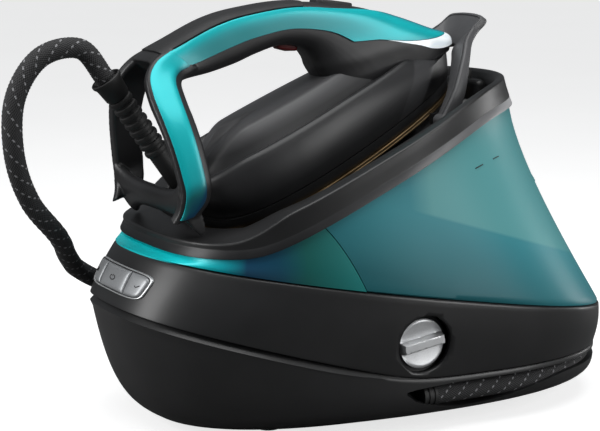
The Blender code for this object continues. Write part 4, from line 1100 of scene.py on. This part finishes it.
def knob():
    """The silver knob, a dished disc with a bar across it to grip, and the collar that it sits in."""
    matrix = facing(knob_centre(), (1, 0, 0)) @ Matrix.Rotation(radians(99.0), 4, "Z")
    radius, steps, circles = KNOB_RADIUS, 96, 22
    angles = [TURN * i / steps for i in range(steps)]
    bm = bmesh.new()
    rows = []
    for k in range(circles):
        r = radius * k / (circles - 1)
        row = []
        for angle in angles if k else [0.0]:
            across = r * cos(angle)
            edge = smooth(radius, radius - 0.0016, r)
            bar = smooth(0.0042, 0.003, abs(across)) * smooth(radius + 0.0005, radius - 0.0008, r)
            dish = -0.0026 + 0.002 * (abs(across) / radius) ** 2
            height = mix(dish, 0.003, bar) * edge + (1.0 - edge) * -0.002
            row.append(bm.verts.new((across, r * sin(angle), height)))
        rows.append(row)
    rows.append([bm.verts.new((radius * cos(a), radius * sin(a), -0.01)) for a in angles])
    turned_faces(bm, rows, steps)
    cap(bm, rows[-1])
    new_piece("knob", bm, "knob", SILVER, "calc_knob", matrix=matrix, angle=50.0)
    inner, outer = radius + 0.0005, KNOB_ROOM - 0.0003
    collar = [[(r * cos(a), r * sin(a), z) for a in angles]
              for r, z in ((inner, -0.012), (inner, -0.0045), (outer, -0.0045), (outer, -0.012))]
    new_piece("knob_collar", looped(collar), "base", SATIN_BLACK, "knob_recess", matrix=matrix)


# ---------------------------------------------------------------- hose


def channel_path(start, end, count):
    """The middle of the channel between two directions round the base."""
    middle = (CHANNEL_LOW + CHANNEL_TOP) / 2
    spots = [outline_point(CREASE, angle, -CHANNEL_DEPTH / 2) for angle in spread(start, end, count)]
    return [Vector((*spot, middle)) for spot in spots]


HOSE_RADIUS = 0.007


def braid(s, turn):
    """The braid's relief: threads that cross."""
    return HOSE_RADIUS + 0.00016 * sin(TURN * (s * BRAID_PITCH + turn * BRAID_TURNS))


def hose():
    """The woven hose: the free loop between the base and the iron, and the run in the channel."""
    boot_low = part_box("hose_base_boot")[0]
    right = side_angle(CREASE, boot_low.y + 0.008, -CHANNEL_DEPTH / 2)
    left = TURN - side_angle(CREASE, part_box("hose_loop")[1].y - 0.004, -CHANNEL_DEPTH / 2)
    new_piece("hose_in_channel", tube_bm(channel_path(right, left, 420), braid), "base", WOVEN, "hose_stowed")
    top, rise = IRON @ BOOT_TOP, (IRON @ BOOT_TOP - IRON @ BOOT_FOOT).normalized()
    bend_end = (-0.02, -0.226, 0.16)
    points = [
        top - rise * 0.012, top + rise * 0.0022, (0.0, -0.195, 0.265), (0.0, -0.223, 0.26),
        (-0.001, -0.241, 0.233), (-0.006, -0.241, 0.195), bend_end, (-0.046, -0.197, 0.129),
        (-0.088, -0.168, 0.096), (-0.1185, -0.118, 0.068), (-0.13, -0.066, 0.046), (-0.1295, -0.033, 0.033),
        (-0.129, -0.002, 0.027), (-0.1195, 0.026, 0.0235), channel_path(left, left, 2)[0],
    ]
    loop = new_piece("hose_free", tube_bm(curve_points(points, 28), braid), None, WOVEN, "hose_loop")
    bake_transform(loop)
    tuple(top)
    boot = channel_path(side_angle(CREASE, boot_low.y + 0.001, -CHANNEL_DEPTH / 2), right + 0.03, 60)
    def ribbed(s, turn):
        return HOSE_RADIUS + 0.0005 + 0.0007 * (sin(TURN * s / 0.0042) > -0.2)
    new_piece("hose_boot_base", tube_bm(boot, ribbed), "base", RUBBER, "hose_base_boot")


BOOT_TOP, BOOT_FOOT = Vector((0.0, 0.001, 0.133)), Vector((0.0, 0.02, 0.04))

# ---------------------------------------------------------------- iron


def iron_ring(outline, height, grow=0.0):
    return ring(outline, height, grow, 128)


def iron_piece(name, bm, material, node=None, body="iron", angle=40.0):
    return new_piece(name, bm, body, material, node, angle, IRON)


def sole():
    """The coated soleplate, with a rounded lower edge and a fine groove round its side."""
    profile = [(0.0, -0.0016), (0.0003, -0.0007), (0.001, -0.0001), (0.0016, 0.0), (0.0019, -0.0004),
               (0.0023, -0.0004), (0.0026, 0.0), (0.0037, 0.0), (0.004, -0.0004)]
    rings = [iron_ring(SOLE, height, grow) for height, grow in profile]
    iron_piece("sole", lofted(rings), SOLE_BROWN, "soleplate")


def skirt():
    """The black skirt between the sole and the body."""
    profile = [(0.0043, -0.0022), (0.005, -0.0015), (0.0085, -0.0008), (0.012, -0.0007), (0.012, -0.0045),
               (0.0043, -0.005)]
    iron_piece("skirt", looped([iron_ring(SOLE, *spot) for spot in profile]), GLOSS_BLACK, "heat_shield")


def body_shell():
    """The iron's body: straight lower sides, a rounded shoulder, a deep trough and the crest inside it."""
    lower = Outline(0.026, 0.25, 0.0545, 0.09, 3.0, 1.5)
    middle = Outline(0.018, 0.2555, 0.0545, 0.09, 2.8, 1.6)
    shoulder = Outline(0.016, 0.233, 0.0505, 0.09, 2.6, 1.7)
    trough = Outline(0.03, 0.215, 0.035, 0.09, 2.4, 1.8)
    crest = Outline(0.03, 0.2, 0.0235, 0.095, 2.3, 2.0)

    def crest_z(u):
        return 0.044 + 0.0175 * smooth(0.026, 0.075, u)

    def trough_z(u):
        return 0.04 + 0.004 * smooth(0.03, 0.11, u)

    def shoulder_z(u):
        return 0.0445 + 0.0045 * smooth(0.02, 0.06, u) - 0.003 * smooth(0.13, 0.22, u)

    profile = [
        (lower, 0.0123, -0.003),
        (lower, 0.0124, -0.0006),
        (lower, 0.0132, 0.0),
        (mix_outline(lower, middle, 0.5), 0.0215, 0.0004),
        (middle, lambda u: mix(0.0215, shoulder_z(u), 0.42), 0.0002),
        (mix_outline(middle, shoulder, 0.5), lambda u: shoulder_z(u) - 0.008, 0.0004),
        (shoulder, lambda u: shoulder_z(u) - 0.003, 0.0006),
        (shoulder, lambda u: shoulder_z(u) - 0.0006, -0.0012),
        (shoulder, shoulder_z, -0.0032),
        (shoulder, lambda u: shoulder_z(u) - 0.0004, -0.0056),
        (mix_outline(shoulder, trough, 0.62), lambda u: mix(shoulder_z(u), trough_z(u), 0.5), 0.0),
        (trough, trough_z, 0.0016),
        (trough, trough_z, -0.0024),
        (mix_outline(trough, crest, 0.7), lambda u: mix(trough_z(u), crest_z(u), 0.5), 0.0),
        (crest, lambda u: crest_z(u) - 0.0022, 0.0),
        (crest, lambda u: crest_z(u) - 0.0005, -0.002),
        (crest, crest_z, -0.006),
        (crest, lambda u: crest_z(u) + 0.0006, -0.014),
    ]
    iron_piece("body_shell", lofted([iron_ring(*row) for row in profile]), BODY_GREY, "iron_shell")


# Stations of the handle arch from nose to rear: outer (u, w), inner (u, w) and half width.
HANDLE_STATIONS = [
    (0.254, 0.032, 0.15, 0.04, 0.02),
    (0.256, 0.042, 0.147, 0.06, 0.0215),
    (0.2415, 0.055, 0.1455, 0.07, 0.022),
    (0.221, 0.0735, 0.1455, 0.078, 0.02),
    (0.1935, 0.0955, 0.141, 0.088, 0.0185),
    (0.152, 0.1185, 0.126, 0.097, 0.018),
    (0.1125, 0.1315, 0.107, 0.1, 0.018),
    (0.085, 0.1365, 0.089, 0.101, 0.018),
    (0.054, 0.136, 0.069, 0.104, 0.0185),
    (0.034, 0.1345, 0.047, 0.109, 0.021),
    (0.019, 0.129, 0.039, 0.106, 0.024),
]
HANDLE_POWER = 0.55
STRIP_TURN = 5.15  # where the painted strips and the light have their lower edge, in twentieths of a turn

# The painted face of a heel leg, from the grip down: points (x, u, w) of its rear edge and of its front edge.
LEG_LINES = [
    (0.0178, 0.052, 0.1335, 0.0205, 0.06, 0.1185),
    (0.0184, 0.044, 0.1328, 0.0215, 0.0515, 0.118),
    (0.0215, 0.032, 0.1315, 0.0245, 0.043, 0.1185),
    (0.0275, 0.0215, 0.126, 0.0305, 0.036, 0.116),
    (0.037, 0.015, 0.115, 0.0395, 0.031, 0.107),
    (0.048, 0.0105, 0.099, 0.05, 0.0262, 0.0937),
    (0.056, 0.0065, 0.0815, 0.0575, 0.0218, 0.0779),
    (0.061, 0.002, 0.063, 0.0622, 0.017, 0.0603),
    (0.0622, -0.001, 0.052, 0.0632, 0.0136, 0.0494),
    (0.059, -0.007, 0.041, 0.06, 0.008, 0.0386),
    (0.055, -0.015, 0.0335, 0.056, -0.002, 0.0318),
]
LEG_THICKNESS, LEG_REAR_RIM, LEG_FRONT_RIM = 0.0085, 0.0025, 0.0052

# How far the pieces run, in stations of the handle and then of the legs.
ARCH_END, STRIP_END, GRIP_SPAN = 9.3, 8.5, (4.95, 8.75)
LEG_SPAN, LEG_STRIP_SPAN = (0.5, len(LEG_LINES) - 1.3), (0.8, 9.4)


def between(stations, s):
    """The values at station s, which may lie between two stations, on a smooth curve through them."""
    last = len(stations) - 1
    i = min(int(s), last - 1)
    rows = [stations[max(i - 1, 0)], stations[i], stations[i + 1], stations[min(i + 2, last)]]
    return [spline(*four, s - i) for four in zip(*rows)]


def handle_point(s, turn, grow=0.0):
    """A point of the handle's skin, in twentieths of a turn: 0 is its outer side and 5 its +X side."""
    outer_u, outer_w, inner_u, inner_w, half_width = between(HANDLE_STATIONS, s)
    outer, inner = Vector((0.0, outer_u, outer_w)), Vector((0.0, inner_u, inner_w))
    half = (outer - inner) / 2
    angle = TURN * turn / 20.0
    point = (outer + inner) / 2
    point += half.normalized() * (half.length + grow) * rounded(cos(angle), HANDLE_POWER)
    point.x += (half_width + grow) * rounded(sin(angle), HANDLE_POWER)
    return point


def leg_frame(s, side):
    """The rear and front edge of a leg's painted face, and the directions across it and out of it."""
    values = between(LEG_LINES, s)
    after = between(LEG_LINES, min(s + 0.05, len(LEG_LINES) - 1))
    before = between(LEG_LINES, max(s - 0.05, 0.0))
    course = (Vector(after[:3]) - Vector(before[:3]) + Vector(after[3:]) - Vector(before[3:])).normalized()
    rear, front = Vector(values[:3]), Vector(values[3:])
    across = (front - rear).normalized()
    out = across.cross(course).normalized()
    if out.x < 0:
        out.negate()
    flip = Vector((side, 1.0, 1.0))
    return [v * flip for v in (rear, front, across, out)]


def leg_ring(s, side):
    """A section of a leg: a band with a flat face between two chamfered rims."""
    rear, front, across, out = leg_frame(s, side)
    drop = 0.0016
    return [
        rear, front,
        front + across * (LEG_FRONT_RIM - 0.001) - out * drop,
        front + across * LEG_FRONT_RIM - out * 2.0 * drop,
        front + across * LEG_FRONT_RIM - out * (LEG_THICKNESS - drop),
        front + across * (LEG_FRONT_RIM - drop) - out * LEG_THICKNESS,
        rear - across * (LEG_REAR_RIM - drop) - out * LEG_THICKNESS,
        rear - across * LEG_REAR_RIM - out * (LEG_THICKNESS - drop),
        rear - across * LEG_REAR_RIM - out * drop,
    ]


def on_handle(s, side):
    """A matrix on the handle's outer (0) or inner (1) line; Z looks into the handle."""
    def at(station, which):
        values = between(HANDLE_STATIONS, station)
        return Vector((0.0, values[2 * which], values[2 * which + 1]))
    tangent = (at(s + 0.1, side) - at(s - 0.1, side)).normalized()
    into = at(s, 1 - side) - at(s, side)
    return facing(at(s, side), into - tangent * into.dot(tangent))


def lifted_off(spot, lift):
    """A matrix that stands off a spot on the handle."""
    return on_handle(*spot) @ Matrix.Translation((0.0, 0.0, -lift))


TRIGGER_SIZE, TRIGGER_SPOT = Vector((0.01, 0.0165, 0.011)), (4.5, 1)
BOOST_SIZE, BOOST_SPOT = Vector((0.0165, 0.03, 0.004)), (4.35, 0)


def pillow(size, crown, power=5.0, count=88):
    """A rounded block with a crowned face towards -Z."""
    rings = []
    profile = [(size.z, 0.0), (0.0012, 0.0), (0.0004, 0.0003), (0.0, 0.001), (-0.3 * crown, 0.003)]
    for height, inset in profile:
        points = []
        for i in range(count):
            angle = TURN * i / count
            x = (size.x / 2 - inset) * rounded(cos(angle), 2.0 / power)
            y = (size.y / 2 - inset) * rounded(sin(angle), 2.0 / power)
            points.append(Vector((x, y, height)))
        rings.append(points)
    bm = bmesh.new()
    rows = stack(bm, rings, close_last=False)
    cap(bm, rows[-1], (0.0, 0.0, -crown))
    return bm


def fused(obj, size, rounds):
    """Melt an object's crossing parts into one moulded skin."""
    remesh = obj.modifiers.new("melt", "REMESH")
    remesh.mode = "VOXEL"
    remesh.voxel_size = size
    even = obj.modifiers.new("even", "SMOOTH")
    even.factor = 0.5
    even.iterations = rounds
    apply_modifiers(obj)


def handle_shell():
    """The handle arch and the two legs of the heel frame as one moulding."""
    bm = bmesh.new()
    arch = [[handle_point(s, 20.0 * k / 48) for k in range(48)] for s in spread(0.0, ARCH_END, 90)]
    stack(bm, arch)
    for side in (1, -1):
        stack(bm, [leg_ring(s, side) for s in spread(*LEG_SPAN, 80)])
    reach = 0.057
    rings = []
    for x in spread(-reach, reach, 24):
        height = 0.01 + 0.011 * abs(x / reach) ** 4
        rings.append([Vector((x, 0.0005 + 0.006 * cos(a), 0.0405 + height * sin(a)))
                      for a in spread(0.0, TURN * 23 / 24, 24)])
    stack(bm, rings)
    shell = iron_piece("handle_shell", bm, DARK_GREY, "iron_handle")
    fused(shell, 0.0009, 3)
    tools = []
    for name, size, spot, lift in (
        ("trigger", TRIGGER_SIZE + Vector((0.001, 0.001, 0.015)), TRIGGER_SPOT, 0.01),
        ("boost", BOOST_SIZE + Vector((0.0008, 0.0008, 0.008)), BOOST_SPOT, 0.003),
    ):
        tools.append(loose(f"{name}_tool", pillow(size, 0.001), IRON @ lifted_off(spot, lift)))
    cut(shell, *tools)
    shell.data.shade_smooth()
    shell.data.set_sharp_from_angle(angle=radians(50.0))


def painted_turn(s):
    """Where the strip's upper edge runs: along the side at the rear, over the top at the nose."""
    return 3.0 * smooth(2.6, 4.6, s)


def nose_edge(turn):
    """The station at which the strip ends and the light begins: it sweeps back along the side."""
    return 1.32 + 1.7 * (min(abs(turn), STRIP_TURN) / STRIP_TURN) ** 6


def skinned(name, rows, material, node, thickness=0.0014):
    """A thin piece with rounded edges that lies on the iron's skin."""
    piece = iron_piece(name, sheet(rows), material, node)
    thickened(piece, thickness, 0.0)
    bevelled(piece, 0.0004, 2, 50.0)


def handle_strips():
    """The painted strips along both sides of the handle, which meet over the nose."""
    for name, side in SIDES:
        rows = []
        for share in spread(0.0, 1.0, 20):
            start = nose_edge(STRIP_TURN * share)
            row = []
            for s in spread(start, STRIP_END, 120):
                row.append(handle_point(s, side * mix(painted_turn(s), STRIP_TURN, share), 0.0009))
            rows.append(row)
        skinned(f"handle_strip_{name}", rows, PAINT, f"handle_trim_{name}")


def leg_strips():
    """The painted strips that turn the corner at the rear of the grip and run down the legs."""
    for name, side in SIDES:
        rows = []
        for s in spread(*LEG_STRIP_SPAN, 150):
            rear, front, across, out = leg_frame(s, side)
            slim = 0.004 * smooth(8.4, 9.4, s)
            row = []
            for share in spread(0.0, 1.0, 14):
                crown = 0.001 * (1.0 - (2.0 * share - 1.0) ** 4)
                row.append(rear.lerp(front - across * slim, share) + out * (0.0001 + crown))
            rows.append(row)
        skinned(f"leg_strip_{name}", rows, PAINT, f"leg_trim_{name}", 0.0012)


def nose_light():
    """The white light that wraps round under the nose and tapers back along both sides."""
    half = 4.75
    rows = []
    for share in spread(0.0, 1.0, 10):
        row = []
        for turn in spread(-half, half, 90):
            width = 0.78 * smooth(half + 0.05, 3.9, abs(turn))
            row.append(handle_point(nose_edge(turn) - 0.02 - width * share, turn, 0.0008))
        rows.append(row)
    skinned("nose_light", rows, WHITE_LENS, "light_window")


def handle_covers():
    """The soft cover on the grip, the boost button and the trigger."""
    rows = []
    for s in spread(*GRIP_SPAN, 60):
        half = max(1.0, painted_turn(s) - 0.3)
        rows.append([handle_point(s, turn, 0.0006) for turn in spread(-half, half, 41)])
    skinned("grip_cover", rows, SOFT_GRIP, "handle_top_cover")
    boost = transformed(pillow(BOOST_SIZE, 0.0006), lifted_off(BOOST_SPOT, 0.0018))
    iron_piece("boost_cap", boost, SOFT_GRIP, "boost_button", "boost")
    trigger = transformed(pillow(TRIGGER_SIZE, 0.001), lifted_off(TRIGGER_SPOT, 0.0035))
    iron_piece("trigger_cap", trigger, DARK_RED, "steam_trigger", "trigger")


def iron_boot():
    """The ribbed rubber sleeve on the hose at the back of the iron."""
    length = (BOOT_TOP - BOOT_FOOT).length
    radius, neck = 0.0088, 0.0074
    profile = [(0.0, length - 0.003), (0.0086, length - 0.003), (0.0104, length), (0.0112, length - 0.0006),
               (0.0112, length - 0.0022), (0.0098, length - 0.0045), (radius, length - 0.015)]
    edge = radius - 0.0004
    rib = ((neck, 0.0), (edge, 0.0006), (radius, 0.0022), (edge, 0.0038), (neck, 0.0044))
    for i in range(8):
        top = length - 0.017 - i * 0.0062
        profile += [(r, top - below) for r, below in rib]
    profile += [(neck, 0.0), (0.0, 0.0)]
    iron_piece("hose_boot_iron", transformed(turned_bm(profile, 40), facing(BOOT_FOOT, BOOT_TOP - BOOT_FOOT)),
               RUBBER, "iron_hose_boot")


def transformed(bm, matrix):
    bm.transform(matrix)
    return bm


# ---------------------------------------------------------------- the lock over the iron's nose

LOCK_PIVOT = Vector((0.0, 0.062, 0.2065))
LOCK_LEAN = radians(33.0)
LOCK_THICKNESS = 0.0065
LOCK = Matrix.Translation(LOCK_PIVOT) @ Matrix.Rotation(pi / 2 - LOCK_LEAN, 4, "X")


def mirrored(points):
    """Points from one side, followed by their mirror image back from the middle."""
    return points + [Vector((-p.x, p.y, p.z)) for p in reversed(points[:-1])]


def bow_section(a, b):
    """The section of the hoop between its outer and inner edge: rounded, with a groove along its face."""
    half, edge = LOCK_THICKNESS / 2, 0.0014
    flange = 0.004 * smooth(0.06, 0.02, a.y)
    curl = 0.0085 * smooth(0.06, 0.096, a.y)
    width = (b - a).length
    across = (b - a) / width
    profile = [
        (0.0, edge - half - flange), (0.0, half - edge), (0.4 * edge, half - 0.35 * edge), (edge, half),
        (0.0021, half), (0.0024, half - 0.0009), (0.0031, half - 0.0009), (0.0034, half),
        (width - edge, half), (width - 0.4 * edge, half - 0.35 * edge), (width, half - edge),
        (width, edge - half), (width - 0.4 * edge, 0.35 * edge - half), (width - edge, -half),
        (edge, -half - flange), (0.4 * edge, 0.35 * edge - half - flange),
    ]
    return [a + across * inset + Vector((0.0, 0.0, height - curl)) for inset, height in profile]


def bow_shell():
    """The hoop over the iron's nose, whose tab curls back, with a hub at the foot of each leg."""
    edges = [
        ((0.055, -0.003), (0.0455, -0.003)), ((0.0545, 0.006), (0.045, 0.006)),
        ((0.0515, 0.026), (0.04, 0.024)), ((0.0395, 0.053), (0.026, 0.046)),
        ((0.029, 0.069), (0.017, 0.056)), ((0.024, 0.079), (0.012, 0.06)),
        ((0.0232, 0.0865), (0.0085, 0.0625)), ((0.0205, 0.09), (0.0055, 0.0638)),
        ((0.01, 0.0918), (0.0025, 0.0645)), ((0.0, 0.0922), (0.0, 0.0648)),
    ]
    outer, inner = (mirrored(curve_points([(*pair[side], 0.0) for pair in edges], 9)) for side in (0, 1))
    rings = [bow_section(a, b) for a, b in zip(outer, inner)]
    new_piece("bow_shell", lofted(rings), "lock", MID_GREY, "lock_bow", matrix=LOCK, angle=35.0)
    for name, side in SIDES:
        hub = [(0.0, 0.0056), (0.0042, 0.0056), (0.005, 0.0048), (0.005, -0.0048), (0.0, -0.0048)]
        spot = facing(LOCK_PIVOT + Vector((side * 0.051, 0.0, 0.0)), (side, 0.0, 0.0))
        new_piece(f"bow_hub_{name}", turned_bm(hub, 32), "lock", MID_GREY, matrix=spot)


def lock_hump():
    """The rounded hump behind the nose with its small catch."""
    shape = Outline(0.1065, 0.122, 0.024, 0.114, 2.5, 2.5)
    top = 0.2315
    rings = [ring(shape, lambda y: tray_floor_z(y) + 0.0006, 0.0, 64)]
    rings += [ring(shape, top - 0.004 * (1.0 - sin(t)), -0.004 * (1.0 - cos(t)), 64)
              for t in spread(0.0, pi / 2, 6)]
    new_piece("lock_hump", lofted(rings), "base", SATIN_BLACK, "lock_housing")
    catch = [(0.0, 0.011), (0.0022, 0.0106), (0.0036, 0.0094), (0.004, 0.0078), (0.004, 0.0), (0.0, 0.0)]
    new_piece("lock_nub", turned_bm(catch, 28), "base", RUBBER,
              matrix=facing(Vector((0.0, 0.115, 0.228)), (0.0, 0.0015, 0.0105)))


# ---------------------------------------------------------------- feet, mat and the pieces inside


def rubber_feet():
    """Four round feet with softened edges."""
    for name in ("foot_front_right", "foot_front_left", "foot_rear_right", "foot_rear_left"):
        low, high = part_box(name)
        radius, height = (high.x - low.x) / 2, high.z - low.z
        profile = [(0.0, height), (radius, height), (radius, 0.0008), (radius - 0.0003, 0.0002),
                   (radius - 0.0009, 0.0), (0.0, 0.0)]
        spot = Matrix.Translation(((low.x + high.x) / 2, (low.y + high.y) / 2, low.z))
        new_piece(f"{name}_pad", turned_bm(profile, 40), "base", RUBBER, name, matrix=spot)


def rest_pad():
    """The ribbed heat-proof mat that the sole rests on."""
    shape = Outline(0.045, 0.205, 0.038, 0.09, 3.0, 1.6)
    rings = [iron_ring(shape, -0.0034), iron_ring(shape, -0.0012), iron_ring(shape, -0.0006, -0.0008)]
    new_piece("rest_pad", lofted(rings), "base", SILICONE, "rest_mat", matrix=IRON)


FINISH = {
    "hull_black": GLOSS_BLACK,
    "satin_black": SATIN_BLACK,
    "soft_grey": MID_GREY,
    "accent_cyan": PAINT,
    "tank_teal": CLEAR_TEAL,
    "silver_paint": SILVER,
    "rubber_black": RUBBER,
    "woven_black": WOVEN,
    "silicone": SILICONE,
    "casting": CASTING,
    "steel": STEEL,
    "brass": BRASS,
    "sole_brown": SOLE_BROWN,
    "dark_red": DARK_RED,
    "white_lens": WHITE_LENS,
    "board_green": BOARD,
}

SLOT_OF = {material.name: slot for slot, material in FINISH.items()}
SLOT_OF[BAND_PAINT.name] = "accent_cyan"
SLOT_OF[DARK_GREY.name] = SLOT_OF[BODY_GREY.name] = "satin_black"
SLOT_OF[SOFT_GRIP.name] = "soft_grey"
SLOT_OF[LIGHT_SILVER.name] = "silver_paint"
SLOT_OF[DECK_CHAMFER_HIGHLIGHT.name] = "satin_black"


def carried_over():
    """The CAD pieces that are shown as they are get their finishes."""
    slots = {part["node"]: part["material_slot"] for part in frame["record"]["subparts"]}
    for name, node in frame["nodes"].items():
        if not node.hide_render:
            node.data.materials.clear()
            node.data.materials.append(FINISH[slots[name]])


# ---------------------------------------------------------------- floor, light and camera


def stage():
    """A pale floor under the object, far wider than the view."""
    across = spread(-8.0, 8.0, 9)
    grid = [[Vector((x, y, FLOOR_Z - 0.0002)) for x in across] for y in across]
    new_piece("floor", sheet(grid), None, floor_finish())


def softbox(name, direction, elevation, distance, size, power):
    """An area light that looks at the middle of the object. Directions are those of the camera."""
    lamp = bpy.data.lights.new(name, "AREA")
    lamp.shape = "RECTANGLE"
    lamp.size, lamp.size_y = size
    lamp.energy = power
    obj = bpy.data.objects.new(name, lamp)
    away = from_target(direction, elevation)
    obj.matrix_world = facing(TARGET + away * distance, away, "Y")
    bpy.context.scene.collection.objects.link(obj)


TARGET = Vector((0.0, 0.0, 0.12))
CAMERA_AZIMUTH, CAMERA_ELEVATION, CAMERA_DISTANCE = 61.0, 10.5, 1.3


def from_target(azimuth, elevation):
    """The direction from the target to a viewpoint: azimuth 0 is -Y and 90 is +X."""
    a, e = radians(azimuth), radians(elevation)
    return Vector((sin(a) * cos(e), -cos(a) * cos(e), sin(e)))


def lights():
    """Soft lights left, right, behind and above, in a room that is dim but for what the camera sees of it."""
    softbox("left_softbox", 350.0, 18.0, 1.3, (0.5, 0.9), 9.0)
    softbox("right_softbox", 125.0, 16.0, 1.4, (0.5, 0.9), 8.0)
    softbox("rear_softbox", 178.0, 2.0, 1.3, (0.25, 0.3), 2.0)
    softbox("top_softbox", 60.0, 80.0, 1.3, (1.3, 1.3), 16.0)
    world = bpy.data.worlds.new("studio")
    world.use_nodes = True
    nodes, links = world.node_tree.nodes, world.node_tree.links
    room = nodes["Background"]
    room.inputs["Color"].default_value = (0.8, 0.85, 0.9, 1.0)
    room.inputs["Strength"].default_value = 0.16
    backdrop = nodes.new("ShaderNodeBackground")
    backdrop.inputs["Color"].default_value = (0.94, 0.95, 0.95, 1.0)
    mixer = nodes.new("ShaderNodeMixShader")
    links.new(nodes.new("ShaderNodeLightPath").outputs["Is Camera Ray"], mixer.inputs["Fac"])
    links.new(room.outputs["Background"], mixer.inputs[1])
    links.new(backdrop.outputs["Background"], mixer.inputs[2])
    links.new(mixer.outputs["Shader"], nodes["World Output"].inputs["Surface"])
    bpy.context.scene.world = world
    bpy.context.scene.view_settings.view_transform = "Standard"


def camera():
    """The camera, at the angle of the photo."""
    data = bpy.data.cameras.new("camera")
    data.lens = 105.3
    data.shift_x, data.shift_y = -0.055, 0.0325
    obj = bpy.data.objects.new("camera", data)
    away = from_target(CAMERA_AZIMUTH, CAMERA_ELEVATION)
    obj.matrix_world = facing(TARGET + away * CAMERA_DISTANCE, away, "Y")
    bpy.context.scene.collection.objects.link(obj)
    bpy.context.scene.camera = obj


# ---------------------------------------------------------------- building everything

hull_shell()
housing_shell()
accent_band()
deck_shell()
tank_shell()
level_mark()
tank_flap()
panel_bezel()
panel_buttons()
panel_symbols()
knob()
hose()
sole()
skirt()
body_shell()
handle_shell()
handle_strips()
leg_strips()
nose_light()
handle_covers()
iron_boot()
bow_shell()
lock_hump()
rubber_feet()
rest_pad()
carried_over()
stage()
lights()
camera()
